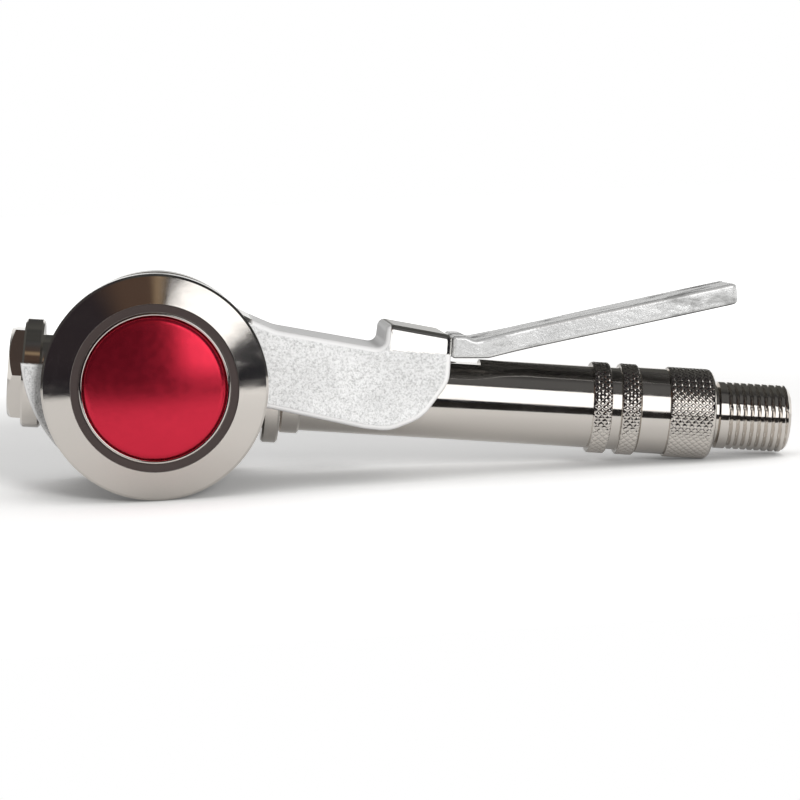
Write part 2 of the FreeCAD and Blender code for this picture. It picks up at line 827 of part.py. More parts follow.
def poppet_spring():
    """Spring under the poppet, at its pressed length."""
    start = valve_chamber_floor_z + stem_travel() + stem_top_gap
    end = seat_top_z - seat_thickness - poppet_height - touch_gap
    return coil(poppet_spring_radius, poppet_spring_wire, poppet_spring_turns, start, end,
                Z_AXIS, Vector(valve_x, 0, 0))


def lever_side_outline():
    """Side outline of the finger lever, from its root to its tip."""
    middle_x = (lever_root_x + lever_reach_x) / 2
    return rounded_outline([
        (lever_root_x, lever_root_bottom_z, lever_edge_radius),
        (lever_root_x, lever_root_top_z, lever_edge_radius),
        (lever_root_x + lever_lip_length, lever_root_top_z + lever_lip_rise, lever_lip_bend),
        (lever_root_x + lever_dip_length, lever_root_top_z - lever_dip_drop, lever_dip_bend),
        (middle_x, lever_middle_z + lever_middle_thickness, lever_bow_bend),
        (lever_reach_x - lever_tip_lean, lever_tip_z + lever_thickness, lever_tip_top_radius),
        (lever_reach_x, lever_tip_z, lever_tip_bottom_radius),
        (middle_x, lever_middle_z, lever_bow_bend),
        (lever_root_x + lever_belly_length, lever_root_bottom_z + lever_belly_rise,
         lever_belly_bend)])


def lever_plan_outline():
    """Outline of the finger lever seen from above, root to tip."""
    half = [(lever_root_x - slip_gap, lever_root_half_width, 0),
            (lever_root_x + lever_root_length, lever_root_half_width, lever_root_corner),
            (lever_root_x + lever_neck_length, lever_neck_half_width, lever_neck_bend),
            (lever_reach_x - lever_tip_length, lever_tip_half_width, lever_tip_bend),
            (lever_reach_x + slip_gap, lever_tip_half_width, lever_tip_corner_radius)]
    mirror = [(x, -y, radius) for x, y, radius in reversed(half)]
    return rounded_outline(half + mirror)


def lever_arm():
    """Cast finger lever: arm, saddle-shaped root and pivot tongue."""
    arm = slab(lever_side_outline(), lever_root_half_width + 1)
    plan = slab(lever_plan_outline(), lever_tip_z + 2 * lever_thickness)
    plan.rotate(Vector(0, 0, 0), X_AXIS, 90)
    arm = arm.common(plan)
    rims = [edge for edge in arm.Edges if is_flank_rim(edge)]
    arm = arm.makeFillet(lever_edge_radius, rims)
    tongue = rod(lever_tongue_boss_radius, -lever_tongue_half_width, lever_tongue_half_width,
                 Y_AXIS, Vector(lever_pivot_x, 0, lever_pivot_z))
    reach = lever_root_x + lever_lip_length / 2
    tongue = tongue.fuse(block((lever_pivot_x, -lever_tongue_half_width, tongue_bottom_z()),
                               (reach, lever_tongue_half_width,
                                lever_pivot_z + lever_tongue_top)))
    arm = arm.fuse(tongue).removeSplitter()
    arm = arm.cut(rod(lever_pin_radius + running_gap, -lever_root_half_width,
                      lever_root_half_width, Y_AXIS, Vector(lever_pivot_x, 0, lever_pivot_z)))
    for angle in (0.0, lever_travel_deg / 2, lever_travel_deg):
        room = rod(tube_radius + body_gap, lever_root_x - slip_gap, lever_reach_x)
        room.rotate(Vector(lever_pivot_x, 0, lever_pivot_z), Y_AXIS, -angle)
        arm = arm.cut(room)
    return arm


def is_flank_rim(edge):
    """True for the long edges along the lever's two flanks."""
    box = edge.BoundBox
    return box.XLength > 2.0 and box.YMax * box.YMin > 0


def knurled_sleeve():
    """Union sleeve with its two bands and the groove between them."""
    first_end = tube_end_x + sleeve_band_length
    second_start = first_end + sleeve_groove_length
    end = second_start + sleeve_band_length
    sleeve = chamfered_rod(sleeve_band_radius, tube_end_x, first_end)
    sleeve = sleeve.fuse(rod(sleeve_groove_radius, tube_end_x + turned_chamfer, second_start + 1))
    sleeve = sleeve.fuse(chamfered_rod(sleeve_band_radius, second_start, end))
    return sleeve.cut(rod(tube_thread_radius + running_gap, tube_end_x, end))


def inlet_swivel():
    """Swivel with its plain land, knurled band, neck, nipple and spigot."""
    round_end = swivel_band_radius - swivel_round_drop
    swivel = turned_x([(swivel_x, swivel_plain_radius),
                       (swivel_band_x, swivel_plain_radius),
                       (swivel_band_x + turned_chamfer, swivel_band_radius),
                       (swivel_neck_x - swivel_round, swivel_band_radius),
                       (swivel_neck_x - swivel_round / 4, (swivel_band_radius + round_end) / 2),
                       (swivel_neck_x, round_end),
                       (swivel_neck_x, swivel_neck_radius),
                       (nipple_x, swivel_neck_radius),
                       (nipple_x + nipple_lead, nipple_radius),
                       (nipple_end_x - nipple_chamfer, nipple_radius),
                       (nipple_end_x, nipple_radius - nipple_chamfer)])
    swivel = swivel.fuse(rod(swivel_spigot_radius, swivel_spigot_x, swivel_x))
    swivel = swivel.cut(rod(air_bore_radius, swivel_spigot_x, nipple_end_x))
    clip_x = swivel_spigot_x + clip_offset
    swivel = swivel.cut(collar(swivel_spigot_radius + 1, swivel_spigot_radius - clip_bite,
                               clip_x - running_gap, clip_x + clip_width + running_gap))
    seal_x = swivel_spigot_x + swivel_seal_offset
    groove_bottom = swivel_bore_radius - running_gap - 2 * swivel_seal_section
    return swivel.cut(collar(swivel_spigot_radius + 1, groove_bottom,
                             seal_x - swivel_seal_section, seal_x + swivel_seal_section))


def swivel_clip():
    """Snap ring that keeps the swivel in the barrel."""
    clip_x = swivel_spigot_x + clip_offset
    outer = swivel_bore_radius + clip_bite - running_gap
    ring = collar(outer, swivel_spigot_radius - clip_bite + running_gap, clip_x,
                  clip_x + clip_width)
    return ring.cut(block((clip_x, -clip_gap / 2, 0), (clip_x + clip_width, clip_gap / 2, outer)))


def swivel_seal():
    """Round-section seal in the spigot's groove."""
    seal_x = swivel_spigot_x + swivel_seal_offset
    return Part.makeTorus(swivel_bore_radius - swivel_seal_section - running_gap,
                          swivel_seal_section - touch_gap, Vector(seal_x, 0, 0), X_AXIS)


def inlet_filter():
    """Cup-shaped strainer in the mouth of the air bore."""
    start = nipple_end_x - filter_recess - filter_length
    end = nipple_end_x - filter_recess
    cup = rod(air_bore_radius, start, end)
    return cup.cut(rod(air_bore_radius - filter_wall, start + filter_floor, end))


def gauge_case():
    """Cup of the gauge with the land that carries the dial."""
    outer = gauge_case_radius
    bore = outer - gauge_case_wall
    land = bore - gauge_land_width
    profile = [(socket_nose_radius + running_gap, drum_rear_y),
               (outer - gauge_case_edge, drum_rear_y),
               (outer, drum_rear_y + gauge_case_edge), (outer, gauge_rim_y), (bore, gauge_rim_y),
               (bore, dial_y), (land, dial_y), (land, gauge_floor_y),
               (socket_nose_radius + running_gap, gauge_floor_y)]
    case = turned_y(profile)
    hole = rod(case_screw_radius + running_gap, drum_rear_y, gauge_floor_y, Y_AXIS,
               Vector(case_screw_pitch_radius, 0, 0))
    for copy in around_y(hole, 3, 30.0):
        case = case.cut(copy)
    return case


def case_screws():
    """Three screws through the gauge case into the drum."""
    seat = Vector(case_screw_pitch_radius, gauge_floor_y, 0)
    one = screw(case_screw_radius, case_screw_length - slip_gap, case_screw_head_radius,
                case_screw_head_height, seat, Y_AXIS * -1)
    return Part.makeCompound(around_y(one, 3, 30.0))


def gauge_bezel():
    """Snap ring of the gauge that holds the lens."""
    inner = gauge_case_radius + running_gap
    lip = gauge_case_radius - bezel_lip_width
    lens_front = gauge_rim_y + lens_thickness
    profile = [(inner, gauge_rim_y - bezel_skirt), (bezel_radius, gauge_rim_y - bezel_skirt),
               (bezel_radius, bezel_front_y - bezel_edge),
               (bezel_radius - bezel_edge, bezel_front_y),
               (lip + bezel_edge, bezel_front_y), (lip, lens_front), (inner, lens_front)]
    return turned_y(profile)


def gauge_lens():
    """Flat window of the gauge."""
    radius = gauge_case_radius - running_gap
    return rod(radius, gauge_rim_y, gauge_rim_y + lens_thickness, Y_AXIS)


def dial_plate():
    """Dial disc on the land of the case."""
    radius = gauge_case_radius - gauge_case_wall - running_gap
    return collar(radius, dial_shaft_hole_radius, dial_y, dial_y + dial_thickness, Y_AXIS)


def gauge_socket():
    """Socket with the threaded nose and the block that feeds the tube."""
    nose_y = drum_rear_y - socket_nose_length
    half = socket_block / 2
    top = gauge_floor_y + socket_block_height
    socket = rod(socket_nose_radius, nose_y, gauge_floor_y + socket_overlap, Y_AXIS)
    arm_end_z = -bourdon_radius - 2 * bourdon_half_thickness
    arm = block((-half / 2, gauge_floor_y, arm_end_z), (half / 2, top, 0))
    socket = socket.fuse(arm)
    socket = socket.cut(rod(socket_bore_radius, nose_y, gauge_floor_y + socket_block_height / 2,
                            Y_AXIS))
    return socket.cut(bourdon_ring(touch_gap))


def bourdon_ring(gap=0.0):
    """Curved flat-oval tube, from the socket round to its closed tip."""
    mid_y = gauge_floor_y + socket_block_height / 2
    centre = Vector(0, mid_y, -bourdon_radius)
    oval = Part.Ellipse(centre, bourdon_half_height + gap, bourdon_half_thickness + gap)
    oval_wire = Part.Wire(oval.toShape())
    oval_wire.rotate(centre, Y_AXIS, 90)
    oval_wire.rotate(centre, X_AXIS, 90)
    face = Part.Face(oval_wire)
    return face.revolve(Vector(0, 0, 0), Y_AXIS, -bourdon_sweep_deg)


def movement_frame():
    """Two plates and their pillars, on the socket block."""
    low = gauge_floor_y + socket_block_height
    high = dial_y - movement_dial_gap
    half_w = movement_width / 2
    half_h = movement_height / 2
    frame = block((-half_w, low, -half_h), (half_w, low + movement_plate, half_h))
    frame = frame.fuse(block((-half_w, high - movement_plate, -half_h), (half_w, high, half_h)))
    for side in (-1, 1):
        place = Vector(side * (half_w - pillar_inset), 0, pillar_inset - half_h)
        frame = frame.fuse(rod(pillar_radius, low, high, Y_AXIS, place))
    return frame.cut(rod(arbor_radius + running_gap, low, high, Y_AXIS))


def pointer_arbor():
    """Arbor that carries the pointer through the dial."""
    low = gauge_floor_y + socket_block_height + slip_gap
    high = dial_y + dial_thickness + pointer_dial_gap + pointer_thickness
    return rod(arbor_radius, low, high, Y_AXIS)


def pointer():
    """Tapered needle with its hub and counterweight, at the zero mark."""
    low = dial_y + dial_thickness + pointer_dial_gap
    hub = rod(pointer_hub_radius, low, low + 2 * pointer_thickness, Y_AXIS)
    tip = pointer_tip_width
    points = [(-pointer_width, -pointer_tail), (pointer_width, -pointer_tail),
              (pointer_width / 2, 0), (tip, pointer_reach), (-tip, pointer_reach),
              (-pointer_width / 2, 0)]
    outline = Part.makePolygon([Vector(x, low, z) for x, z in points + points[:1]])
    needle = Part.Face(outline).extrude(Vector(0, pointer_thickness, 0))
    needle = needle.fuse(hub)
    needle = needle.cut(rod(arbor_radius, low, low + pointer_thickness, Y_AXIS))
    needle.rotate(Vector(0, 0, 0), Y_AXIS, pointer_zero_deg)
    return needle


def resting_place():
    """Placement that lays the tool down on ring, gauge bezel and swivel band."""
    front_y = ring_back_y
    rear_y = bezel_front_y - bezel_edge
    band_x = swivel_neck_x - swivel_round
    lean = 0.0
    tilt = 0.0
    for _ in range(20):
        across = math.sqrt(math.sin(tilt) ** 2 + (math.cos(tilt) * math.cos(lean)) ** 2)
        lean = math.asin((ring_radius - bezel_radius) * across
                         / ((front_y - rear_y) * math.cos(tilt)))
        head_low = front_y * math.sin(lean) * math.cos(tilt) - ring_radius * across
        tilt = math.asin((-head_low - swivel_band_radius * math.cos(tilt)) / band_x)
    turn = Rotation(Y_AXIS, math.degrees(tilt)) * Rotation(X_AXIS, math.degrees(lean))
    return Placement(Vector(0, 0, -head_low), turn)


def parts():
    """Every piece of the tool by its node name."""
    return {
        "valve_body": valve_body(),
        "body_casting": body_casting(),
        "union_nut": union_nut(),
        "barrel_tube": barrel_tube(),
        "saddle_pins": Part.makeCompound(saddle_pin_pair()),
        "outlet_collar": outlet_collar(),
        "outlet_fitting": outlet_fitting(),
        "outlet_seal": outlet_seal(),
        "head_ring": head_ring(),
        "ring_screws": ring_screws(),
        "button_retainer": button_retainer(),
        "bleed_button": bleed_button(),
        "bleed_pin": bleed_pin(),
        "bleed_seal": bleed_seal(),
        "bleed_spring": bleed_spring(),
        "valve_seat": seat_ring(),
        "valve_cage": valve_cage(),
        "stem_seal": stem_seal(),
        "gland_nut": gland_nut(),
        "valve_stem": valve_stem(),
        "poppet_spring": poppet_spring(),
        "lever": lever_arm(),
        "lever_pin": lever_pin_shape(),
        "knurled_sleeve": knurled_sleeve(),
        "inlet_swivel": inlet_swivel(),
        "swivel_clip": swivel_clip(),
        "swivel_seal": swivel_seal(),
        "inlet_filter": inlet_filter(),
        "gauge_case": gauge_case(),
        "case_screws": case_screws(),
        "gauge_bezel": gauge_bezel(),
        "gauge_lens": gauge_lens(),
        "dial_plate": dial_plate(),
        "gauge_socket": gauge_socket(),
        "bourdon_tube": bourdon_ring(),
        "movement_frame": movement_frame(),
        "pointer_arbor": pointer_arbor(),
        "pointer": pointer(),
    }


def laid_down(shapes):
    """The pieces in the resting pose, with the origin under their middle."""
    place = resting_place()
    placed = {}
    for name, shape in shapes.items():
        copy = shape.copy()
        copy.Placement = place.multiply(copy.Placement)
        placed[name] = copy
    box = Part.makeCompound(list(placed.values())).optimalBoundingBox(False, False)
    shift = Vector(-box.Center.x, -box.Center.y, -box.ZMin)
    for shape in placed.values():
        shape.translate(shift)
    return placed, place, shift


def main():
    """Write one STEP file per piece."""
    os.makedirs("parts", exist_ok=True)
    placed, place, shift = laid_down(parts())
    for name, shape in placed.items():
        shape.exportStep(os.path.join("parts", name + ".step"))
        solids = shape.Solids
        print(name, len(solids), "solids", round(sum(s.Volume for s in solids), 2), "mm3",
              "valid" if shape.isValid() else "NOT VALID")


main()
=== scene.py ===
import json
import logging
import math
from abc import ABC, abstractmethod
from collections.abc import Callable, Iterable, Sequence
from dataclasses import dataclass, field
from enum import Enum

import bpy
from mathutils import Matrix, Vector


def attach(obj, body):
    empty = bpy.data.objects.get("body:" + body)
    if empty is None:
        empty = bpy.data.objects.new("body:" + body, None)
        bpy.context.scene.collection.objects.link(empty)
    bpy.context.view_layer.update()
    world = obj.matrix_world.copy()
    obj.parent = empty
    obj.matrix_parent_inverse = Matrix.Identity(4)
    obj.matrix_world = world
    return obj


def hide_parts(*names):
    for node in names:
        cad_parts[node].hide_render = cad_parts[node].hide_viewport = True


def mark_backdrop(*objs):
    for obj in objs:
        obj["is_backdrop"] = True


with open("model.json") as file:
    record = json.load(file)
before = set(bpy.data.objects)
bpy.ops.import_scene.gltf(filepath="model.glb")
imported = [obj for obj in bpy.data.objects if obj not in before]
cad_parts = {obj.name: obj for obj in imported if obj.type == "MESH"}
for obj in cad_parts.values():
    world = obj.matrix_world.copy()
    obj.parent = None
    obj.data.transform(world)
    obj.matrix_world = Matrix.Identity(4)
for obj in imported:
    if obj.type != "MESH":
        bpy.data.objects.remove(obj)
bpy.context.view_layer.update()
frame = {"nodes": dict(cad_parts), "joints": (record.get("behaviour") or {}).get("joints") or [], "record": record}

log = logging.getLogger("inflator")

MILLIMETRE = 0.001
FULL_TURN = 2.0 * math.pi
CUT_SMOOTHING = 28.0

Colour = tuple[float, float, float]
Station = tuple[float, float]
Place = tuple[float, float, float]
Node = bpy.types.Node
Socket = bpy.types.NodeSocket
Material = bpy.types.Material
SceneObject = bpy.types.Object


class Slot(Enum):
    """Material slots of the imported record."""

    NICKEL = "nickel"
    CAST_NICKEL = "cast_nickel"
    RED_ANODISED = "red_anodised"
    BRASS = "brass"
    STEEL = "steel"
    RUBBER = "rubber"
    NYLON = "nylon"
    BRONZE = "bronze"
    BLACK_STEEL = "black_steel"
    DIAL_WHITE = "dial_white"
    LENS_GLASS = "lens_glass"


class Body(Enum):
    """Bodies that the pieces ride on."""

    HOUSING = "housing"
    BLEED_BUTTON = "bleed_button"
    INLET_SWIVEL = "inlet_swivel"


@dataclass(frozen=True)
class ToolFrame:
    """The tool's own axes as it lies on the bench.

    The x axis runs along the barrel to the inlet, y from the button to the
    gauge, z up to the lever. The origin is where head and barrel axes cross.
    """

    origin: Vector
    along: Vector
    across: Vector
    up: Vector

    @classmethod
    def from_joints(cls, joints: Sequence[dict]) -> "ToolFrame":
        """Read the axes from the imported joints.

        Args:
            joints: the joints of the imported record.

        Returns:
            The frame of the tool in the row frame.
        """
        by_name = {joint["name"]: joint for joint in joints}
        along = Vector(by_name["inlet_turn"]["axis"]).normalized()
        across = Vector(by_name["button_press"]["axis"]).normalized()
        up = along.cross(across).normalized()
        on_barrel = Vector(by_name["inlet_turn"]["pos_m"])
        on_head = Vector(by_name["pointer_sweep"]["pos_m"])
        origin = on_barrel + along * (on_head - on_barrel).dot(along)
        return cls(origin, along, across, up)

    def direction(self, x: float, y: float, z: float) -> Vector:
        """A direction of the tool in the row frame."""
        return self.along * x + self.across * y + self.up * z

    def point(self, x: float, y: float, z: float) -> Vector:
        """A point of the tool, in millimetres, in the row frame."""
        return self.origin + self.direction(x, y, z) * MILLIMETRE


# ---- finishes


class NodeSketch:
    """Builds the node tree of one material or world."""

    def __init__(self, tree: bpy.types.NodeTree) -> None:
        """Take over a node tree and clear it."""
        self.tree = tree
        tree.nodes.clear()

    def node(self, kind: str, **settings: object) -> Node:
        """Add a node.

        Args:
            kind: the node's type name without its ShaderNode prefix.
            **settings: attributes to set on the node.

        Returns:
            The new node.
        """
        made = self.tree.nodes.new("ShaderNode" + kind)
        for name, value in settings.items():
            setattr(made, name, value)
        return made

    def feed(self, socket: Socket, value: object) -> None:
        """Link an output to a socket, or set the socket's own value."""
        if isinstance(value, Socket):
            self.tree.links.new(value, socket)
        else:
            socket.default_value = (*value, 1.0) if socket.type == "RGBA" else value

    def maths(self, operation: str, *entries: object) -> Socket:
        """Add a Math node and feed its inputs."""
        made = self.node("Math", operation=operation)
        for socket, value in zip(made.inputs, entries):
            self.feed(socket, value)
        return made.outputs[0]

    def product(self, first: object, second: object) -> Socket:
        """Multiply two values."""
        return self.maths("MULTIPLY", first, second)

    def rest(self, share: object) -> Socket:
        """What a share leaves of 1."""
        return self.maths("SUBTRACT", 1.0, share)

    def vectors(self, operation: str, *entries: object, scale: Socket | None = None) -> Node:
        """Add a Vector Math node and feed its inputs."""
        made = self.node("VectorMath", operation=operation)
        for socket, value in zip(made.inputs, entries):
            self.feed(socket, value)
        if scale is not None:
            self.feed(made.inputs["Scale"], scale)
        return made

    def ramp(self, value: object, low: float, high: float, out_low: float = 0.0,
             out_high: float = 1.0) -> Socket:
        """Map a value smoothly from one range to another.

        Args:
            value: the number or socket to map.
            low: where the rise starts.
            high: where the rise ends.
            out_low: the result below the rise.
            out_high: the result above the rise.

        Returns:
            The mapped value's socket.
        """
        made = self.node("MapRange", interpolation_type="SMOOTHSTEP")
        for name, entry in (("Value", value), ("From Min", low), ("From Max", high),
                            ("To Min", out_low), ("To Max", out_high)):
            self.feed(made.inputs[name], entry)
        return made.outputs["Result"]

    def band(self, value: object, low: float, high: float, softness: float) -> Socket:
        """A soft-edged window of a value: 1 between low and high."""
        return self.product(self.ramp(value, low - softness, low + softness),
                            self.ramp(value, high - softness, high + softness, 1.0, 0.0))

    def mix(self, share: object, first: object, second: object, blend: str = "MIX") -> Socket:
        """Mix two colours by a share of the second."""
        made = self.node("Mix", data_type="RGBA", blend_type=blend)
        for index, value in ((0, share), (6, first), (7, second)):
            self.feed(made.inputs[index], value)
        return made.outputs[2]

    def shade_by(self, colour: object, value: Socket) -> Socket:
        """Multiply a colour by a value."""
        return self.mix(1.0, colour, value, "MULTIPLY")

    def reading(self, spot: object, origin: Vector, axis: Vector) -> Socket:
        """Millimetres along an axis from an origin."""
        reach = self.vectors("DOT_PRODUCT", spot, axis / MILLIMETRE).outputs["Value"]
        return self.maths("SUBTRACT", reach, origin.dot(axis) / MILLIMETRE)

    def facing(self, axis: Vector) -> Socket:
        """How far the surface faces along an axis, -1 to 1."""
        normal = self.node("TexCoord").outputs["Normal"]
        return self.vectors("DOT_PRODUCT", normal, axis).outputs["Value"]

    def noise(self, place: object, scale: float, detail: float = 3.0,
              roughness: float = 0.55) -> Socket:
        """Add a noise pattern and return its factor."""
        made = self.node("TexNoise")
        for name, value in (("Vector", place), ("Scale", scale), ("Detail", detail),
                            ("Roughness", roughness)):
            self.feed(made.inputs[name], value)
        return made.outputs["Fac"]

    def stretched(self, place: object, scale: Place) -> Socket:
        """Scale a texture's coordinates."""
        made = self.node("Mapping")
        self.feed(made.inputs["Vector"], place)
        made.inputs["Scale"].default_value = scale
        return made.outputs["Vector"]

    def bump(self, height: object, depth: float, under: object = None) -> Socket:
        """Turn a height into a surface normal.

        Args:
            height: the height pattern, 0 to 1.
            depth: the height of 1, in metres.
            under: a normal to add it to.

        Returns:
            The normal's socket.
        """
        made = self.node("Bump")
        made.inputs["Distance"].default_value = depth
        self.feed(made.inputs["Height"], height)
        if under is not None:
            self.feed(made.inputs["Normal"], under)
        return made.outputs["Normal"]

    def paint(self, shader: Node, colour: object, roughness: object,
              normal: object, metallic: object) -> None:
        """Feed the shader's main sockets."""
        for name, value in (("Base Color", colour), ("Roughness", roughness),
                            ("Normal", normal), ("Metallic", metallic)):
            self.feed(shader.inputs[name], value)


def dimmed(colour: Colour, share: float) -> Colour:
    """A colour at a share of its strength."""
    return tuple(share * part for part in colour)


@dataclass(frozen=True)
class Finish:
    """A surface finish that can be made into a material."""

    name: str

    def material(self) -> Material:
        """Make the material."""
        made = bpy.data.materials.new(self.name)
        made.use_nodes = True
        sketch = NodeSketch(made.node_tree)
        shader = sketch.node("BsdfPrincipled")
        output = sketch.node("OutputMaterial")
        sketch.feed(output.inputs["Surface"], shader.outputs["BSDF"])
        self.lay(sketch, shader, sketch.node("TexCoord").outputs["Object"])
        return made

    def lay(self, sketch: NodeSketch, shader: Node, spot: Socket) -> None:
        """Add this finish's own nodes.

        Args:
            sketch: the material's tree.
            shader: its Principled shader.
            spot: the place on the object, for its patterns.
        """
        raise NotImplementedError


@dataclass(frozen=True)
class BrightPlate(Finish):
    """Bright nickel plate: a mirror with faint waviness, specks and wiped smears."""

    colour: Colour = (0.74, 0.70, 0.655)
    thin_share: float = 0.96
    roughness: float = 0.085
    smear: float = 0.06
    smear_scale: float = 160.0
    tint_scale: float = 60.0
    wave_scale: float = 130.0
    wave_depth: float = 0.000005
    speck_scale: float = 900.0
    speck_depth: float = 0.0000012

    def lay(self, sketch: NodeSketch, shader: Node, spot: Socket) -> None:
        """Add smears to the roughness and a faint waviness to the surface."""
        smears = sketch.noise(sketch.stretched(spot, (1.0, 1.0, 2.5)), self.smear_scale, 4.0, 0.6)
        shine = sketch.ramp(smears, 0.42, 0.75, self.roughness, self.roughness + self.smear)
        tint = sketch.mix(sketch.noise(spot, self.tint_scale), self.colour,
                          dimmed(self.colour, self.thin_share))
        waves = sketch.bump(sketch.noise(spot, self.wave_scale, 2.0), self.wave_depth)
        specks = sketch.noise(spot, self.speck_scale, 2.0)
        sketch.paint(shader, tint, shine, sketch.bump(specks, self.speck_depth, waves), 1.0)


@dataclass(frozen=True)
class GroovedPlate(BrightPlate):
    """Bright plate whose narrow groove about the head's axis is dull and painted dark as shade."""

    tool: ToolFrame | None = None
    groove_inner: float = 14.42
    groove_outer: float = 15.97
    groove_edge: float = 0.04
    groove_colour: Colour = (0.036, 0.026, 0.024)
    groove_roughness: float = 0.45
    groove_metallic: float = 0.1

    def lay(self, sketch: NodeSketch, shader: Node, spot: Socket) -> None:
        """Paint shade into the plate in the groove."""
        super().lay(sketch, shader, spot)
        squares = []
        for axis in (self.tool.along, self.tool.up):
            side = sketch.reading(spot, self.tool.origin, axis)
            squares.append(sketch.product(side, side))
        reach = sketch.maths("SQRT", sketch.maths("ADD", *squares))
        # Painted shade: the groove band gets a dark colour and little metal, standing in for shade and a dark
        # reflection.
        groove = sketch.band(reach, self.groove_inner, self.groove_outer, self.groove_edge)
        tint, shine = (shader.inputs[name].links[0].from_socket
                       for name in ("Base Color", "Roughness"))
        sketch.feed(shader.inputs["Base Color"], sketch.mix(groove, tint, self.groove_colour))
        sketch.feed(shader.inputs["Metallic"],
                    sketch.ramp(groove, 0.0, 1.0, 1.0, self.groove_metallic))
        sketch.feed(shader.inputs["Roughness"], sketch.maths(
            "MAXIMUM", shine, sketch.product(groove, self.groove_roughness)))


@dataclass(frozen=True)
class BlastedCasting(Finish):
    """Plated die casting: blasted side faces, smooth rounded edges, bright lever housing."""

    tool: ToolFrame
    face_colour: Colour = (0.57, 0.57, 0.567)
    edge_colour: Colour = (0.64, 0.635, 0.63)
    bright_colour: Colour = (0.80, 0.78, 0.75)
    face_roughness: float = 0.50
    edge_roughness: float = 0.34
    bright_roughness: float = 0.13
    face_metallic: float = 0.30
    edge_metallic: float = 0.20
    turn_start: float = 0.93
    turn_end: float = 0.998
    ragged: float = 0.9
    ragged_scale: float = 900.0
    grain_depth: float = 0.00010
    grain_scale: float = 2600.0
    coarse_share: float = 0.4
    cloud_scale: float = 120.0
    housing_x: float = 44.4
    housing_z: float = 9.6
    dish_x: float = 17.0
    dish_z: float = 2.6
    rear_y: float = 11.2
    crown: float = 0.14

    def lay(self, sketch: NodeSketch, shader: Node, spot: Socket) -> None:
        """Blast the flat sides, leave the edges smooth and polish the lever housing."""
        tool = self.tool
        along, across, up = (sketch.reading(spot, tool.origin, axis)
                             for axis in (tool.along, tool.across, tool.up))
        up = sketch.maths("ADD", up, sketch.product(
            sketch.noise(spot, self.ragged_scale, 3.0, 0.7), self.ragged))
        side = sketch.ramp(sketch.maths("ABSOLUTE", sketch.facing(tool.across)),
                           self.turn_start, self.turn_end)
        housing = sketch.product(sketch.ramp(up, self.housing_z, self.housing_z + 0.45),
                                 sketch.ramp(along, self.housing_x, self.housing_x + 0.5))
        dish = sketch.product(sketch.ramp(along, self.dish_x, self.dish_x + 1.5, 1.0, 0.0),
                              sketch.ramp(up, self.dish_z, self.dish_z + 1.0))
        rear = sketch.ramp(across, self.rear_y, self.rear_y + 0.5)
        turned = sketch.product(sketch.rest(side), sketch.maths("MAXIMUM", dish, rear))
        bright = sketch.maths("MAXIMUM", housing, turned)
        blasted = sketch.product(side, sketch.rest(bright))
        fine = sketch.noise(spot, self.grain_scale, 3.0, 0.75)
        coarse = sketch.noise(spot, self.grain_scale * self.coarse_share, 3.0, 0.6)
        height = sketch.product(sketch.maths("MULTIPLY_ADD", coarse, 0.7, fine), blasted)
        speckle = sketch.ramp(sketch.maths("MULTIPLY_ADD", coarse, 0.4, fine), 0.44, 0.82,
                              0.60, 1.14)
        cloud = sketch.ramp(sketch.noise(spot, self.cloud_scale, 3.0), 0.3, 0.7, 0.93, 1.05)
        face = sketch.shade_by(self.face_colour, sketch.product(speckle, cloud))
        smooth = sketch.mix(bright, self.edge_colour, self.bright_colour)
        rough = sketch.ramp(bright, 0.0, 1.0, self.edge_roughness, self.bright_roughness)
        shiny = sketch.ramp(bright, 0.0, 1.0, self.edge_metallic, 1.0)
        lean = sketch.vectors("SCALE", tool.direction(0.5, -1.0, 1.0) * self.crown, scale=housing)
        leaned = sketch.vectors("ADD", sketch.node("NewGeometry").outputs["Normal"],
                                lean.outputs["Vector"])
        unit = sketch.vectors("NORMALIZE", leaned.outputs["Vector"])
        sketch.paint(shader, sketch.mix(blasted, smooth, face),
                     sketch.ramp(blasted, 0.0, 1.0, rough, self.face_roughness),
                     sketch.bump(height, self.grain_depth, unit.outputs["Vector"]),
                     sketch.ramp(blasted, 0.0, 1.0, shiny, self.face_metallic))


@dataclass(frozen=True)
class RoughCasting(Finish):
    """As-cast, tumbled and plated surface: soft lumps, dull patches, and painted shade on the underside."""

    tool: ToolFrame
    colour: Colour = (0.68, 0.68, 0.675)
    dull_colour: Colour = (0.34, 0.34, 0.335)
    under_tone: float = 0.16
    roughness: float = 0.24
    dull_roughness: float = 0.46
    lump_scale: float = 330.0
    lump_depth: float = 0.00016
    grit_scale: float = 1900.0
    grit_depth: float = 0.00004
    patch_scale: float = 210.0
    metallic: float = 0.62

    def lay(self, sketch: NodeSketch, shader: Node, spot: Socket) -> None:
        """Add lumps, grit and dull patches drawn out along the arm, and paint shade on faces that point down."""
        drawn = sketch.stretched(spot, (0.45, 1.0, 1.0))
        lumps = sketch.bump(sketch.noise(drawn, self.lump_scale, 3.0, 0.55), self.lump_depth)
        grit = sketch.noise(spot, self.grit_scale, 2.0, 0.7)
        dull = sketch.ramp(sketch.noise(drawn, self.patch_scale, 5.0, 0.68), 0.47, 0.68)
        # Painted shade: faces that point down are darkened, standing in for the shadow under the lever.
        under = sketch.ramp(sketch.facing(self.tool.up), -0.85, -0.35, self.under_tone, 1.0)
        colour = sketch.shade_by(sketch.mix(dull, self.colour, self.dull_colour), under)
        shine = sketch.ramp(dull, 0.0, 1.0, self.roughness, self.dull_roughness)
        sketch.paint(shader, colour, shine, sketch.bump(grit, self.grit_depth, lumps),
                     self.metallic)


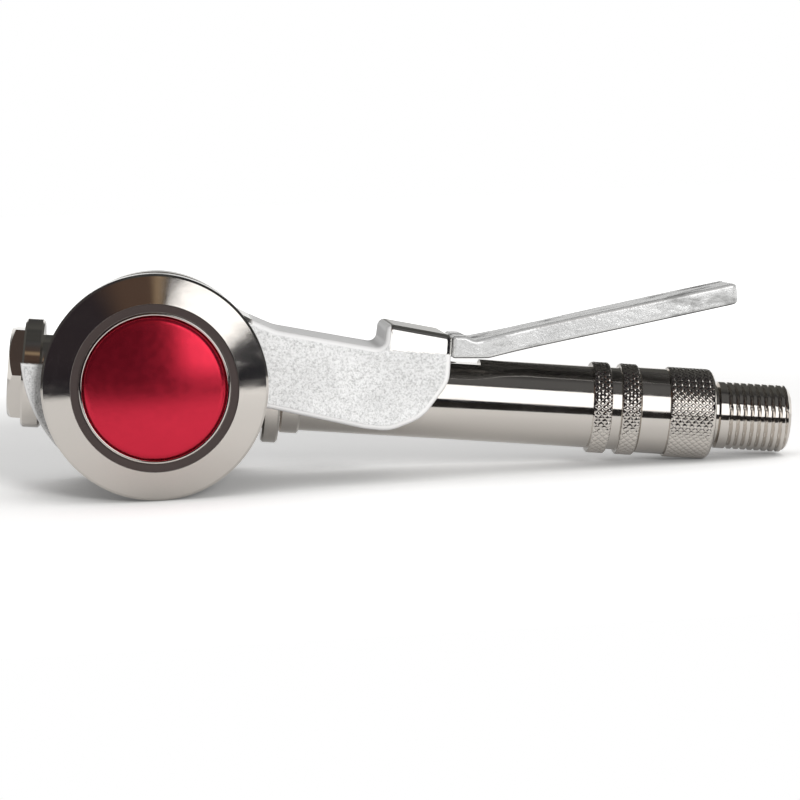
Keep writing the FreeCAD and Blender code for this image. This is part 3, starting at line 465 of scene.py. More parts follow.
@dataclass(frozen=True)
class Anodised(Finish):
    """Satin dyed aluminium, slightly uneven in dye and shine."""

    colour: Colour = (0.72, 0.032, 0.066)
    deep_share: float = 0.86
    dye_scale: float = 130.0
    roughness: float = 0.22
    shine_scale: float = 700.0
    metallic: float = 0.94
    speck_scale: float = 1400.0
    speck_depth: float = 0.000006

    def lay(self, sketch: NodeSketch, shader: Node, spot: Socket) -> None:
        """Add slight unevenness of dye and of shine."""
        dye = sketch.mix(sketch.noise(spot, self.dye_scale, 4.0, 0.6), self.colour,
                         dimmed(self.colour, self.deep_share))
        shine = sketch.ramp(sketch.noise(spot, self.shine_scale), 0.3, 0.7, self.roughness,
                            self.roughness + 0.05)
        specks = sketch.bump(sketch.noise(spot, self.speck_scale, 2.0), self.speck_depth)
        sketch.paint(shader, dye, shine, specks, self.metallic)


@dataclass(frozen=True)
class MachinedMetal(Finish):
    """Turned metal with fine tool marks and uneven tarnish."""

    colour: Colour = (0.60, 0.60, 0.60)
    tarnish: Colour = (0.45, 0.44, 0.42)
    roughness: float = 0.25
    cloud_scale: float = 320.0
    mark_scale: float = 600.0
    mark_depth: float = 0.000015

    def lay(self, sketch: NodeSketch, shader: Node, spot: Socket) -> None:
        """Add tool marks and tarnish."""
        cloud = sketch.ramp(sketch.noise(spot, self.cloud_scale, 4.0), 0.35, 0.75)
        marks = sketch.noise(sketch.stretched(spot, (9.0, 1.0, 1.0)), self.mark_scale, 2.0)
        sketch.paint(shader, sketch.mix(cloud, self.colour, self.tarnish),
                     sketch.ramp(cloud, 0.0, 1.0, self.roughness, self.roughness + 0.15),
                     sketch.bump(marks, self.mark_depth), 1.0)


@dataclass(frozen=True)
class DullSolid(Finish):
    """Moulded or painted stuff: rubber, nylon, enamel, sintered bronze or print."""

    colour: Colour
    shade: Colour
    roughness: float = 0.6
    metallic: float = 0.0
    grain_scale: float = 1200.0
    grain_depth: float = 0.00002
    mottle_share: float = 0.4

    def lay(self, sketch: NodeSketch, shader: Node, spot: Socket) -> None:
        """Add mottling and grain."""
        mottle = sketch.noise(spot, self.grain_scale * self.mottle_share, 3.0)
        sketch.paint(shader, sketch.mix(mottle, self.colour, self.shade),
                     sketch.ramp(mottle, 0.3, 0.7, self.roughness, self.roughness + 0.08),
                     sketch.bump(sketch.noise(spot, self.grain_scale), self.grain_depth),
                     self.metallic)


@dataclass(frozen=True)
class ClearWindow(Finish):
    """Clear window that lets light through to the dial."""

    colour: Colour = (0.97, 0.985, 0.98)
    roughness: float = 0.02
    wipe_scale: float = 90.0
    wipe_depth: float = 0.000004
    refraction: float = 1.45

    def lay(self, sketch: NodeSketch, shader: Node, spot: Socket) -> None:
        """Add faint wipe marks and let shadow rays pass."""
        wipes = sketch.noise(sketch.stretched(spot, (1.0, 1.0, 4.0)), self.wipe_scale)
        shine = sketch.ramp(wipes, 0.45, 0.8, self.roughness, self.roughness + 0.05)
        sketch.paint(shader, self.colour, shine, sketch.bump(wipes, self.wipe_depth), 0.0)
        shader.inputs["Transmission Weight"].default_value = 1.0
        shader.inputs["IOR"].default_value = self.refraction
        blend = sketch.node("MixShader")
        output = next(n for n in sketch.tree.nodes if n.type == "OUTPUT_MATERIAL")
        for socket, value in zip(blend.inputs, (
                sketch.node("LightPath").outputs["Is Shadow Ray"], shader.outputs["BSDF"],
                sketch.node("BsdfTransparent").outputs["BSDF"])):
            sketch.feed(socket, value)
        sketch.feed(output.inputs["Surface"], blend.outputs["Shader"])


# ---- meshes


def linked(name: str, data: bpy.types.ID) -> SceneObject:
    """Make an object of some data and put it into the scene."""
    made = bpy.data.objects.new(name, data)
    bpy.context.scene.collection.objects.link(made)
    return made


def flat_sheet(name: str, corners: Sequence[Place], material: Material) -> SceneObject:
    """Make a four-cornered sheet."""
    mesh = bpy.data.meshes.new(name)
    mesh.from_pydata(corners, [], [(0, 1, 2, 3)])
    mesh.materials.append(material)
    return linked(name, mesh)


@dataclass
class Sheet:
    """Faces of one piece, gathered in the tool's own millimetres."""

    tool: ToolFrame
    points: list[Vector] = field(default_factory=list)
    faces: list[tuple[int, ...]] = field(default_factory=list)

    def rings(self, rows: Sequence[Sequence[Place]], ends_joined: bool = False) -> None:
        """Join closed loops of points into a skin.

        Args:
            rows: loops with the same number of points each.
            ends_joined: whether the last loop joins the first.
        """
        base = len(self.points)
        count = len(rows[0])
        for row in rows:
            self.points.extend(self.tool.point(*spot) for spot in row)
        last = len(rows) if ends_joined else len(rows) - 1
        for index in range(last):
            here = base + index * count
            there = base + (index + 1) % len(rows) * count
            for step in range(count):
                after = (step + 1) % count
                self.faces.append((here + step, here + after, there + after, there + step))

    def slab(self, corners: Sequence[tuple[float, float]], y_low: float, y_high: float) -> None:
        """Add a flat plate from its outline in the x-z plane.

        Args:
            corners: (x, z) corners, clockwise as seen from the gauge side.
            y_low: the near face.
            y_high: the far face.
        """
        base = len(self.points)
        count = len(corners)
        for y in (y_low, y_high):
            self.points.extend(self.tool.point(x, y, z) for x, z in corners)
        self.faces.append(tuple(range(base + count - 1, base - 1, -1)))
        self.faces.append(tuple(range(base + count, base + 2 * count)))
        for step in range(count):
            after = (step + 1) % count
            self.faces.append((base + step, base + after, base + count + after,
                               base + count + step))

    def piece(self, name: str, material: Material,
              smooth_below: float = 0.0) -> SceneObject:
        """Make the object.

        Args:
            name: the piece's name.
            material: its material.
            smooth_below: the angle, in degrees, below which edges are shaded smooth.

        Returns:
            The new object, in the row frame.
        """
        mesh = bpy.data.meshes.new(name)
        mesh.from_pydata(self.points, [], self.faces)
        mesh.validate()
        mesh.materials.append(material)
        made = linked(name, mesh)
        bpy.ops.object.select_all(action="DESELECT")
        made.select_set(True)
        bpy.context.view_layer.objects.active = made
        bpy.ops.object.mode_set(mode="EDIT")
        bpy.ops.mesh.select_all(action="SELECT")
        bpy.ops.mesh.normals_make_consistent(inside=False)
        bpy.ops.object.mode_set(mode="OBJECT")
        if smooth_below > 0.0:
            bpy.ops.object.shade_smooth_by_angle(angle=math.radians(smooth_below))
        made.select_set(False)
        return made


def loop_at(x: float, radius: Callable[[float], float], count: int) -> list[Place]:
    """One loop round the barrel's axis.

    Args:
        x: the station along the barrel.
        radius: the radius at a turn of 0 to 1.
        count: how many points.

    Returns:
        The loop's points.
    """
    loop = []
    for step in range(count):
        turn = step / count
        reach = radius(turn)
        angle = FULL_TURN * turn
        loop.append((x, reach * math.cos(angle), reach * math.sin(angle)))
    return loop


def turned_loops(stations: Iterable[Station], count: int) -> list[list[Place]]:
    """Plain loops round the barrel's axis at (x, radius) stations."""
    return [loop_at(x, lambda _turn, reach=reach: reach, count) for x, reach in stations]


def spaced(start: float, end: float, step: float) -> list[float]:
    """Evenly spaced stations from start to end, no further apart than a step."""
    count = max(1, math.ceil(abs(end - start) / step))
    return [start + (end - start) * index / count for index in range(count + 1)]


def outline_radius(stations: Sequence[Station], x: float) -> float:
    """The radius of a turned outline at a station."""
    for (x_low, low), (x_high, high) in zip(stations, stations[1:]):
        if x_low <= x <= x_high:
            share = (x - x_low) / (x_high - x_low) if x_high > x_low else 0.0
            return low + (high - low) * share
    return stations[-1][1] if x > stations[-1][0] else stations[0][1]


@dataclass(frozen=True)
class DiamondKnurl:
    """Rolled diamond knurl: two crossed families of helical grooves."""

    teeth: int = 40
    samples: int = 9
    slant: float = 45.0
    depth: float = 0.20
    land: float = 0.60

    @property
    def points(self) -> int:
        """How many points a knurled loop has."""
        return self.teeth * self.samples

    def loops(self, stations: Sequence[Station]) -> list[list[Place]]:
        """Loops of a knurled band.

        Args:
            stations: the band's outer outline, as (x, radius).

        Returns:
            Loops along the band.
        """
        mean = max(reach for _x, reach in stations)
        pitch = FULL_TURN * mean / self.teeth
        rise = pitch / math.tan(math.radians(self.slant))
        rows = []
        for x in spaced(stations[0][0], stations[-1][0], pitch / self.samples):
            outer = outline_radius(stations, x)
            rows.append(loop_at(x, lambda turn, x=x, outer=outer:
                                self.reach(outer, mean, turn, x / rise), self.points))
        return rows

    def reach(self, outer: float, mean: float, turn: float, advance: float) -> float:
        """Radius of the knurl at a place.

        Args:
            outer: the blank's radius here.
            mean: the blank's full radius.
            turn: the place round the barrel, 0 to 1.
            advance: the place along the barrel, in groove pitches.

        Returns:
            The radius in millimetres.
        """
        lean = turn * self.teeth
        ways = (lean + advance, lean - advance)
        groove = max(abs(way - math.floor(way) - 0.5) * 2.0 for way in ways)
        height = min(1.0, (1.0 - groove) / (1.0 - self.land))
        return min(outer, mean - self.depth * (1.0 - height))


@dataclass(frozen=True)
class PipeThread:
    """Right-hand taper pipe thread."""

    pitch: float = 1.411
    depth: float = 0.50
    crest: float = 0.46
    root: float = 0.06

    def reach(self, blank: float, x: float, turn: float, fade: float = 1.0) -> float:
        """Radius of the thread at a place.

        Args:
            blank: the crest's radius here.
            x: the place along the barrel.
            turn: the place round the barrel, 0 to 1.
            fade: 1 for full depth, 0 for none.

        Returns:
            The radius in millimetres.
        """
        way = x / self.pitch - turn
        side = abs(way - math.floor(way) - 0.5) * 2.0
        cut = (side - self.crest) / (1.0 - self.crest - self.root)
        return blank - self.depth * fade * max(0.0, min(1.0, cut))


# ---- the tool's pieces


class Piece(ABC):
    """A piece of the tool that this script draws."""

    @abstractmethod
    def build(self, tool: ToolFrame, finish: Material) -> SceneObject:
        """Make the piece.

        Args:
            tool: the tool's axes.
            finish: its material.

        Returns:
            The piece, in the row frame.
        """


@dataclass
class KnurledSleeve(Piece):
    """Union sleeve: two knurled bands and the groove between them."""

    start: float = 85.9
    band: float = 3.5
    groove: float = 2.2
    radius: float = 9.05
    groove_radius: float = 8.15
    bore: float = 7.35
    chamfer: float = 0.22
    groove_edge: float = 0.2
    knurl: DiamondKnurl = DiamondKnurl()

    def build(self, tool: ToolFrame, finish: Material) -> SceneObject:
        """Make the sleeve as one closed ring."""
        count = self.knurl.points
        low = self.radius - self.chamfer
        rows = turned_loops([(self.start, self.bore)], count)
        first_end = self.start + self.band
        second = first_end + self.groove
        for begin in (self.start, second):
            end = begin + self.band
            rows += self.knurl.loops([(begin, low), (begin + self.chamfer, self.radius),
                                      (end - self.chamfer, self.radius), (end, low)])
            if begin == self.start:
                edge = self.groove_edge
                rows += turned_loops([(end, self.groove_radius + edge),
                                      (end + edge, self.groove_radius),
                                      (second - edge, self.groove_radius),
                                      (second, self.groove_radius + edge)], count)
        rows += turned_loops([(second + self.band, self.bore)], count)
        skin = Sheet(tool)
        skin.rings(rows, ends_joined=True)
        return skin.piece("knurled_sleeve_rolled", finish, CUT_SMOOTHING)


@dataclass
class InletSwivel(Piece):
    """Inlet swivel: plain land, knurled band, neck and the taper thread."""

    start: float = 95.25
    plain: float = 6.0
    plain_radius: float = 8.5
    edge: float = 0.2
    band: float = 9.2
    band_radius: float = 8.95
    round_length: float = 1.2
    neck: float = 0.8
    neck_radius: float = 5.9
    nipple: float = 14.5
    nipple_radius: float = 6.65
    nipple_overlap: float = 0.3
    nipple_chamfer: float = 0.8
    bore: float = 3.4
    mouth_depth: float = 2.0
    knurl: DiamondKnurl = DiamondKnurl()
    thread: PipeThread = PipeThread()
    thread_points: int = 144
    rows_per_pitch: int = 14
    lead_slope: float = 2.6
    plain_shoulder: float = 1.6
    run_in: float = 0.5

    def build(self, tool: ToolFrame, finish: Material) -> SceneObject:
        """Make the swivel's head and its threaded nipple as one piece."""
        skin = Sheet(tool)
        skin.rings(self.head_rows(), ends_joined=True)
        skin.rings(self.nipple_rows(), ends_joined=True)
        return skin.piece("inlet_swivel_cut", finish, CUT_SMOOTHING)

    def head_rows(self) -> list[list[Place]]:
        """Loops of the plain land and the knurled band."""
        count = self.knurl.points
        band_start = self.start + self.plain
        band_end = band_start + self.band
        rows = turned_loops([(self.start, self.bore), (self.start, self.plain_radius - self.edge),
                             (self.start + self.edge, self.plain_radius),
                             (band_start - 0.25, self.plain_radius),
                             (band_start - 0.1, self.plain_radius - 0.25),
                             (band_start, self.plain_radius - 0.25)], count)
        outline = [(band_start, self.band_radius - self.edge),
                   (band_start + self.edge, self.band_radius),
                   (band_end - self.round_length, self.band_radius),
                   (band_end - 0.6 * self.round_length, self.band_radius - 0.12),
                   (band_end - 0.25 * self.round_length, self.band_radius - 0.5),
                   (band_end, self.band_radius - 1.4)]
        rows += self.knurl.loops(outline)
        rows += turned_loops([(band_end, self.neck_radius), (band_end, self.bore)], count)
        return rows

    def nipple_rows(self) -> list[list[Place]]:
        """Loops of the neck, the thread, the end face and the mouth of the bore."""
        count = self.thread_points
        head_end = self.start + self.plain + self.band
        neck_start = head_end - self.nipple_overlap
        start = head_end + self.neck
        end = start + self.nipple
        rows = turned_loops([(neck_start, self.bore), (neck_start, self.neck_radius),
                             (start - self.edge, self.neck_radius)], count)
        for x in spaced(start, end, self.thread.pitch / self.rows_per_pitch):
            blank = min(self.nipple_radius, self.neck_radius + (x - start) * self.lead_slope,
                        self.nipple_radius - (x - end + self.nipple_chamfer))
            fade = min(1.0, max(0.0, (x - start - self.plain_shoulder) / self.run_in))
            rows.append(loop_at(x, lambda turn, x=x, blank=blank, fade=fade:
                                self.cut_radius(blank, x, turn, fade), count))
        rows += turned_loops([(end, self.bore + 0.4), (end - 0.4, self.bore),
                              (end - self.mouth_depth - 6.0, self.bore)], count)
        return rows

    def cut_radius(self, blank: float, x: float, turn: float, fade: float) -> float:
        """Radius after the thread is cut into the blank, chamfer and all."""
        return min(blank, self.thread.reach(self.nipple_radius, x, turn, fade))


@dataclass
class ButtonCap(Piece):
    """Red cap of the bleed button: crowned face, rounded edge, skirt and foot."""

    rim_y: float = -21.0
    radius: float = 13.55
    edge: float = 1.2
    crown: float = 1.25
    foot_y: float = -19.05
    foot_reach: float = 0.65
    foot_height: float = 0.8
    skirt_inner: float = 12.35
    roof_hole: float = 0.3
    roof_drop: float = 1.7
    points: int = 192
    rows: int = 40
    edge_rows: int = 9
    smoothing: float = 35.0

    def profile(self) -> list[Station]:
        """The cap's closed outline as (radius, y) from its pole round to its inside."""
        shoulder = self.radius - self.edge
        edge_y = self.rim_y - self.edge
        pole_y = edge_y - self.crown
        dome = (shoulder ** 2 + self.crown ** 2) / (2.0 * self.crown)
        line = []
        for index in range(1, self.rows + 1):
            reach = shoulder * index / self.rows
            line.append((reach, pole_y + dome - math.sqrt(dome ** 2 - reach ** 2)))
        tangent = math.asin(shoulder / dome)
        for index in range(1, self.edge_rows + 1):
            turn = tangent + (math.pi / 2 - tangent) * index / self.edge_rows
            line.append((shoulder + self.edge * (math.sin(turn) - math.sin(tangent))
                         / (1.0 - math.sin(tangent)),
                         edge_y + self.edge * (math.cos(tangent) - math.cos(turn))
                         / math.cos(tangent)))
        foot_top = self.foot_y - self.foot_height
        line += [(self.radius, foot_top), (self.radius + self.foot_reach, foot_top),
                 (self.radius + self.foot_reach, self.foot_y), (self.skirt_inner, self.foot_y),
                 (self.skirt_inner, pole_y + self.roof_drop),
                 (self.roof_hole, pole_y + self.roof_drop)]
        return line

    def build(self, tool: ToolFrame, finish: Material) -> SceneObject:
        """Make the cap."""
        skin = Sheet(tool)
        loops = []
        for reach, y in self.profile():
            loops.append([(reach * math.cos(FULL_TURN * step / self.points), y,
                           reach * math.sin(FULL_TURN * step / self.points))
                          for step in range(self.points)])
        skin.rings(loops)
        skin.faces.append(tuple(range(self.points - 1, -1, -1)))
        last = (len(loops) - 1) * self.points
        skin.faces.append(tuple(range(last, last + self.points)))
        return skin.piece("bleed_button_cap", finish, self.smoothing)


@dataclass
class OutletThread(Piece):
    """Pipe thread in the mouth of the outlet port."""

    mouth: float = -28.45
    length: float = 8.6
    port_radius: float = 4.3
    sunk: float = 0.03
    clear: float = 0.01
    plain_mouth: float = 0.5
    run_in: float = 0.8
    thread: PipeThread = PipeThread(pitch=0.907, depth=0.42)
    rows_per_pitch: int = 10
    points: int = 96
    smoothing: float = 30.0

    def build(self, tool: ToolFrame, finish: Material) -> SceneObject:
        """Make the thread as a lining of the port."""
        start = self.mouth + self.plain_mouth
        end = self.mouth + self.length
        outer = self.port_radius + self.sunk
        rows = turned_loops([(start, outer)], self.points)
        for x in spaced(start, end, self.thread.pitch / self.rows_per_pitch):
            fade = min(1.0, (x - start) / self.run_in)
            rows.append(loop_at(x, lambda turn, x=x, fade=fade: self.thread.reach(
                self.port_radius, x, turn, fade) - self.clear, self.points))
        rows += turned_loops([(end, outer)], self.points)
        skin = Sheet(tool)
        skin.rings(rows, ends_joined=True)
        return skin.piece("outlet_port_thread", finish, self.smoothing)


@dataclass
class DialFace:
    """Print on the gauge's dial: ticks, figures and the unit."""

    face_y: float = 21.8
    print_thickness: float = 0.04
    print_sunk: float = 0.02
    print_spread: float = 0.02
    zero_degrees: float = 135.0
    sweep_degrees: float = 270.0
    full_scale: int = 12
    parts_each: int = 5
    ring_radius: float = 16.4
    ring_width: float = 0.18
    ring_steps: int = 180
    major_length: float = 2.4
    minor_length: float = 1.2
    major_width: float = 0.34
    minor_width: float = 0.14
    figure_radius: float = 11.6
    figure_size: float = 2.9
    figure_step: int = 2
    unit_z: float = -8.0
    unit_size: float = 2.2

    def angle(self, reading: float) -> float:
        """The needle's angle, in radians from straight up, at a reading."""
        share = reading / self.full_scale
        return math.radians(self.zero_degrees - self.sweep_degrees * share)

    def tick(self, skin: Sheet, reading: float, inner: float, outer: float, width: float) -> None:
        """Add one tick across the ring."""
        angle = self.angle(reading)
        out = Vector((math.sin(angle), math.cos(angle)))
        side = Vector((out.y, -out.x)) * (width / 2)
        corners = [out * inner - side, out * outer - side, out * outer + side, out * inner + side]
        skin.slab([(corner.x, corner.y) for corner in corners], self.face_y - self.print_sunk,
                  self.face_y + self.print_thickness)

    def ticks(self, tool: ToolFrame, ink: Material) -> SceneObject:
        """Make all the ticks and the ring that they stand on."""
        skin = Sheet(tool)
        outer = self.ring_radius
        for index in range(self.full_scale * self.parts_each + 1):
            major = index % self.parts_each == 0
            length = self.major_length if major else self.minor_length
            width = self.major_width if major else self.minor_width
            self.tick(skin, index / self.parts_each, outer - length, outer, width)
        rim = outer + self.ring_width
        for index in range(self.ring_steps):
            first = self.angle(self.full_scale * index / self.ring_steps)
            second = self.angle(self.full_scale * (index + 1) / self.ring_steps)
            corners = [(reach * math.sin(angle), reach * math.cos(angle)) for reach, angle in
                       ((outer, first), (rim, first), (rim, second), (outer, second))]
            skin.slab(corners, self.face_y - self.print_sunk, self.face_y + self.print_thickness)
        return skin.piece("dial_ticks", ink)

    def figure(self, tool: ToolFrame, ink: Material, name: str, words: str,
               x: float, z: float, size: float) -> SceneObject:
        """Make one printed figure as a mesh.

        Args:
            tool: the tool's axes.
            ink: its finish.
            name: the piece's name.
            words: the digits or the unit.
            x: the middle of the figure, across the dial.
            z: the middle of the figure, up the dial.
            size: the height of its letters.

        Returns:
            The figure.
        """
        curve = bpy.data.curves.new(name, "FONT")
        curve.body = words
        curve.size = size * MILLIMETRE
        curve.align_x = curve.align_y = "CENTER"
        curve.extrude = self.print_thickness * MILLIMETRE
        curve.offset = self.print_spread * MILLIMETRE
        text = linked(name + "_outline", curve)
        bpy.context.view_layer.update()
        mesh = bpy.data.meshes.new_from_object(text.evaluated_get(
            bpy.context.evaluated_depsgraph_get()))
        bpy.data.objects.remove(text)
        axes = Matrix((-tool.along, tool.up, tool.across)).transposed().to_4x4()
        mesh.transform(Matrix.Translation(tool.point(x, self.face_y, z)) @ axes)
        mesh.name = name
        mesh.materials.clear()
        mesh.materials.append(ink)
        return linked(name, mesh)

    def build(self, tool: ToolFrame, ink: Material) -> list[SceneObject]:
        """Make the whole print.

        Args:
            tool: the tool's axes.
            ink: its finish.

        Returns:
            The printed pieces.
        """
        pieces = [self.ticks(tool, ink)]
        for reading in range(0, self.full_scale + 1, self.figure_step):
            angle = self.angle(reading)
            pieces.append(self.figure(tool, ink, f"dial_figure_{reading}", str(reading),
                                      self.figure_radius * math.sin(angle),
                                      self.figure_radius * math.cos(angle), self.figure_size))
        pieces.append(self.figure(tool, ink, "dial_unit", "bar", 0.0, self.unit_z,
                                  self.unit_size))
        return pieces


# ---- studio


@dataclass(frozen=True)
class SoftPanel:
    """A soft-edged patch of the studio's walls, by azimuth and height in degrees.

    Azimuth is 0 towards the photographer and grows to the right of the picture.
    """

    left: float
    right: float
    bottom: float
    top: float
    softness: float
    colour: Colour


@dataclass
class Studio:
    """White sweep, the room round it, the lamps and the camera."""

    floor_left: float = -0.7
    floor_right: float = 0.7
    floor_front: float = -0.172
    floor_back: float = 1.6
    floor_colour: Colour = (0.95, 0.945, 0.935)
    floor_lift: float = 0.27
    floor_far_lift: float = 0.90
    lift_near: float = 0.12
    lift_far: float = 0.42
    contact_reach: float = 0.035
    contact_tone: float = 0.35
    room_colour: Colour = (0.014, 0.014, 0.018)
    daylight: float = 0.40
    panels: tuple[SoftPanel, ...] = (
        SoftPanel(-180.0, -20.0, 0.0, 91.0, 16.0, (0.030, 0.024, 0.028)),
        SoftPanel(-24.0, 6.0, 26.0, 66.0, 9.0, (0.095, 0.060, 0.044)),
        SoftPanel(2.0, 9.0, 43.0, 50.0, 3.0, (0.40, 0.29, 0.18)),
        SoftPanel(9.0, 80.0, 44.0, 74.0, 8.0, (0.11, 0.11, 0.11)),
        SoftPanel(-180.0, 180.0, 74.0, 91.0, 7.0, (0.06, 0.06, 0.058)),
        SoftPanel(92.0, 180.0, 0.0, 72.0, 10.0, (0.09, 0.09, 0.085)),
        SoftPanel(-180.0, -92.0, 0.0, 72.0, 10.0, (0.09, 0.09, 0.085)),
        SoftPanel(96.0, 180.0, -91.0, 13.0, 3.0, (0.98, 0.98, 0.97)),
        SoftPanel(-180.0, -96.0, -91.0, 13.0, 3.0, (0.98, 0.98, 0.97)),
    )
    window_middle: tuple[float, float, float] = (0.200, -0.45, 0.2375)
    window_width: float = 0.33
    window_height: float = 0.405
    window_watts: float = 0.68
    key_azimuth: float = 14.0
    key_height: float = 17.0
    key_distance: float = 1.1
    key_size: float = 0.22
    key_watts: float = 14.0
    card_left: float = 0.004
    card_right: float = 0.14
    card_top: float = 0.0125
    card_front: float = -0.044
    focal_pixels: float = 2850.0
    picture_pixels: float = 800.0
    sensor_width: float = 36.0
    clip_start: float = 0.01
    clip_end: float = 50.0
    sight_yaw: float = 4.84147
    sight_pitch: float = 4.23884
    sight_roll: float = 3.84901
    sight_target: tuple[float, float, float] = (48.36228, 0.0, -0.92926)
    sight_distance: float = 564.0656

    def floor(self) -> SceneObject:
        """Make the floor, which keeps the tool's shadow, has painted contact shade near it and is white elsewhere.
        """
        corners = [(self.floor_left, self.floor_front, 0.0),
                   (self.floor_right, self.floor_front, 0.0),
                   (self.floor_right, self.floor_back, 0.0),
                   (self.floor_left, self.floor_back, 0.0)]
        material = bpy.data.materials.new("studio_floor_paint")
        material.use_nodes = True
        sketch = NodeSketch(material.node_tree)
        paint = sketch.node("BsdfDiffuse")
        place = sketch.node("TexCoord").outputs["Object"]
        away = sketch.vectors("LENGTH", place).outputs["Value"]
        # Painted shade: an occlusion test darkens the floor's colour and its glow close to the tool.
        near = sketch.node("AmbientOcclusion", samples=16)
        near.inputs["Distance"].default_value = self.contact_reach
        depth = sketch.ramp(near.outputs["AO"], 0.0, 0.9, self.contact_tone, 1.0)
        tint = sketch.mix(sketch.noise(place, 6.0), self.floor_colour,
                          dimmed(self.floor_colour, 0.995))
        sketch.feed(paint.inputs["Color"], sketch.shade_by(tint, depth))
        lift = sketch.node("Emission")
        glow = sketch.ramp(away, self.lift_near, self.lift_far, self.floor_lift,
                           self.floor_far_lift)
        sketch.feed(lift.inputs["Strength"],
                    sketch.product(self.seen(sketch), sketch.product(depth, glow)))
        both = sketch.node("AddShader")
        sketch.feed(both.inputs[0], paint.outputs["BSDF"])
        sketch.feed(both.inputs[1], lift.outputs["Emission"])
        output = sketch.node("OutputMaterial")
        sketch.feed(output.inputs["Surface"], both.outputs["Shader"])
        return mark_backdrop(flat_sheet("studio_floor", corners, material))

    @staticmethod
    def seen(sketch: NodeSketch) -> Socket:
        """Whether a ray comes from the camera or through the window of the gauge."""
        path = sketch.node("LightPath")
        return sketch.maths("MAXIMUM", path.outputs["Is Camera Ray"],
                            path.outputs["Is Transmission Ray"])

    def walls(self) -> None:
        """Fill the world: white to the camera, daylight to dull faces, a room to metal."""
        world = bpy.data.worlds.new("studio_room")
        world.use_nodes = True
        bpy.context.scene.world = world
        sketch = NodeSketch(world.node_tree)
        split = sketch.node("SeparateXYZ")
        sketch.feed(split.inputs[0], sketch.node("TexCoord").outputs["Generated"])
        x, y, z = split.outputs
        azimuth = sketch.product(sketch.maths("ARCTAN2", x, sketch.product(y, -1.0)),
                                 180.0 / math.pi)
        height = sketch.product(sketch.maths("ARCSINE", z), 180.0 / math.pi)
        room: object = self.room_colour
        for panel in self.panels:
            share = sketch.product(
                sketch.band(azimuth, panel.left, panel.right, panel.softness),
                sketch.band(height, panel.bottom, panel.top, panel.softness))
            room = sketch.mix(share, room, panel.colour)
        seen = self.seen(sketch)
        plain = sketch.mix(seen, (self.daylight, self.daylight, self.daylight), (1.0, 1.0, 1.0))
        mirror = sketch.product(sketch.node("LightPath").outputs["Is Glossy Ray"],
                                sketch.rest(seen))
        back = sketch.node("Background")
        sketch.feed(back.inputs["Color"], sketch.mix(mirror, plain, room))
        output = sketch.node("OutputWorld")
        sketch.feed(output.inputs["Surface"], back.outputs["Background"])

    @staticmethod
    def soft_light(name: str, width: float, height: float, watts: float) -> SceneObject:
        """Make a rectangular lamp that the camera doesn't see."""
        light = bpy.data.lights.new(name, "AREA")
        light.shape = "RECTANGLE"
        light.size, light.size_y, light.energy = width, height, watts
        made = linked(name, light)
        made.visible_camera = False
        return made

    def window(self) -> SceneObject:
        """Hang the bright window that the polished pieces mirror."""
        made = self.soft_light("window_light", self.window_width, self.window_height,
                               self.window_watts)
        made.location = self.window_middle
        made.rotation_euler = (math.pi / 2, 0.0, 0.0)
        return made

    def card(self) -> SceneObject:
        """Stand a low black card before the barrel, seen by polished metal alone."""
        y = self.card_front
        corners = [(self.card_left, y, 0.0), (self.card_right, y, 0.0),
                   (self.card_right, y, self.card_top), (self.card_left, y, self.card_top)]
        made = flat_sheet("studio_card", corners, DullSolid(
            "studio_black", (0.012, 0.011, 0.012), (0.03, 0.026, 0.024), 0.9).material())
        made.visible_camera = False
        made.visible_diffuse = False
        made.visible_shadow = False
        made.visible_transmission = False
        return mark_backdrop(made)

    def key_lamp(self) -> SceneObject:
        """Hang the soft lamp that lights the tool and casts its shadow back."""
        made = self.soft_light("key_lamp", self.key_size, self.key_size, self.key_watts)
        turn, rise = math.radians(self.key_azimuth), math.radians(self.key_height)
        toward = Vector((math.sin(turn) * math.cos(rise), -math.cos(turn) * math.cos(rise),
                         math.sin(rise)))
        made.location = toward * self.key_distance
        made.rotation_euler = toward.to_track_quat("Z", "Y").to_euler()
        made.visible_glossy = False
        return made

    def camera(self, tool: ToolFrame) -> SceneObject:
        """Set the camera where the photograph was taken from.

        Args:
            tool: the tool's axes, in which the sight line is given.

        Returns:
            The camera.
        """
        yaw, pitch, roll = (math.radians(angle) for angle in
                            (self.sight_yaw, self.sight_pitch, self.sight_roll))
        back = Vector((-math.sin(yaw) * math.cos(pitch), -math.cos(yaw) * math.cos(pitch),
                       math.sin(pitch)))
        level = Vector((math.cos(yaw), -math.sin(yaw), 0.0))
        upright = -level.cross(back).normalized()
        upright = upright if upright.z > 0.0 else -upright
        right = level * math.cos(roll) + upright * math.sin(roll)
        up = upright * math.cos(roll) - level * math.sin(roll)
        spot = Vector(self.sight_target) + back * self.sight_distance
        lens = bpy.data.cameras.new("photo_camera")
        lens.sensor_width = self.sensor_width
        lens.lens = self.focal_pixels / self.picture_pixels * self.sensor_width
        lens.clip_start, lens.clip_end = self.clip_start, self.clip_end
        made = linked("photo_camera", lens)
        axes = Matrix((tool.direction(*right), tool.direction(*up), tool.direction(*back)))
        made.matrix_world = Matrix.Translation(tool.point(*spot)) @ axes.transposed().to_4x4()
        bpy.context.scene.camera = made
        return made


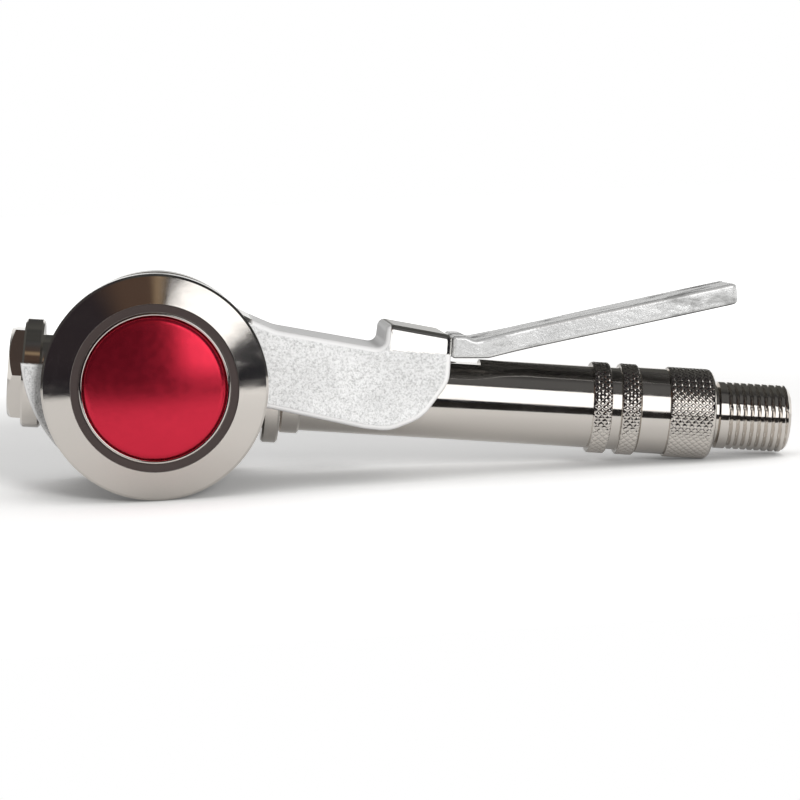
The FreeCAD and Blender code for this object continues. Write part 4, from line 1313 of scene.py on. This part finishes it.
def dress_nodes(tool: ToolFrame) -> dict[Slot, Material]:
    """Give every carried-over CAD node its finish.

    Args:
        tool: the tool's axes.

    Returns:
        The material of each slot.
    """
    finishes = {
        Slot.NICKEL: BrightPlate("bright_nickel"),
        Slot.CAST_NICKEL: BlastedCasting("blasted_nickel", tool),
        Slot.RED_ANODISED: Anodised("red_anodised"),
        Slot.BRASS: MachinedMetal("turned_brass", (0.72, 0.53, 0.24), (0.56, 0.40, 0.18)),
        Slot.STEEL: MachinedMetal("bright_steel"),
        Slot.RUBBER: DullSolid("black_rubber", (0.025, 0.025, 0.027), (0.04, 0.04, 0.04), 0.7),
        Slot.NYLON: DullSolid("white_nylon", (0.84, 0.83, 0.78), (0.76, 0.75, 0.70), 0.45),
        Slot.BRONZE: DullSolid("sintered_bronze", (0.55, 0.38, 0.19), (0.35, 0.23, 0.12), 0.5,
                               1.0, 2200.0, 0.0001),
        Slot.BLACK_STEEL: DullSolid("black_enamel", (0.015, 0.015, 0.016), (0.03, 0.03, 0.03),
                                    0.35),
        Slot.DIAL_WHITE: DullSolid("dial_enamel", (0.86, 0.86, 0.84), (0.82, 0.82, 0.80), 0.4),
        Slot.LENS_GLASS: ClearWindow("gauge_window"),
    }
    materials = {slot: finish.material() for slot, finish in finishes.items()}
    own = {"lever": RoughCasting("cast_lever", tool).material(),
           "head_ring": GroovedPlate("grooved_nickel", tool=tool).material()}
    for entry in frame["record"]["subparts"]:
        node = frame["nodes"][entry["node"]]
        material = own.get(entry["node"], materials[Slot(entry["material_slot"])])
        if not node.material_slots:
            node.data.materials.append(material)
        for held in node.material_slots:
            held.material = material
    return materials


def settle(piece: SceneObject, body: Body, replaced: Sequence[str] = ()) -> None:
    """Tie a piece to its body, hide the CAD nodes that it stands for, and log it.

    Args:
        piece: the piece.
        body: the body that it rides on.
        replaced: CAD nodes that it stands for.
    """
    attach(piece, body.value)
    if replaced:
        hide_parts(*replaced)
    log.info("%s: %d faces", piece.name, len(piece.data.polygons))


def main() -> None:
    """Build the pieces, dress the tool and set the studio."""
    logging.basicConfig(level=logging.INFO, format="%(message)s")
    tool = ToolFrame.from_joints(frame["joints"])
    materials = dress_nodes(tool)
    plate = materials[Slot.NICKEL]
    settle(KnurledSleeve().build(tool, plate), Body.HOUSING, ["knurled_sleeve"])
    settle(InletSwivel().build(tool, plate), Body.INLET_SWIVEL, ["inlet_swivel"])
    settle(OutletThread().build(tool, plate), Body.HOUSING)
    settle(ButtonCap().build(tool, materials[Slot.RED_ANODISED]), Body.BLEED_BUTTON,
           ["bleed_button"])
    for printed in DialFace().build(tool, materials[Slot.BLACK_STEEL]):
        settle(printed, Body.HOUSING)
    studio = Studio()
    studio.floor()
    studio.walls()
    studio.window()
    studio.card()
    studio.key_lamp()
    studio.camera(tool)
    bpy.context.scene.view_settings.view_transform = "Standard"


if __name__ == "__main__":
    main()
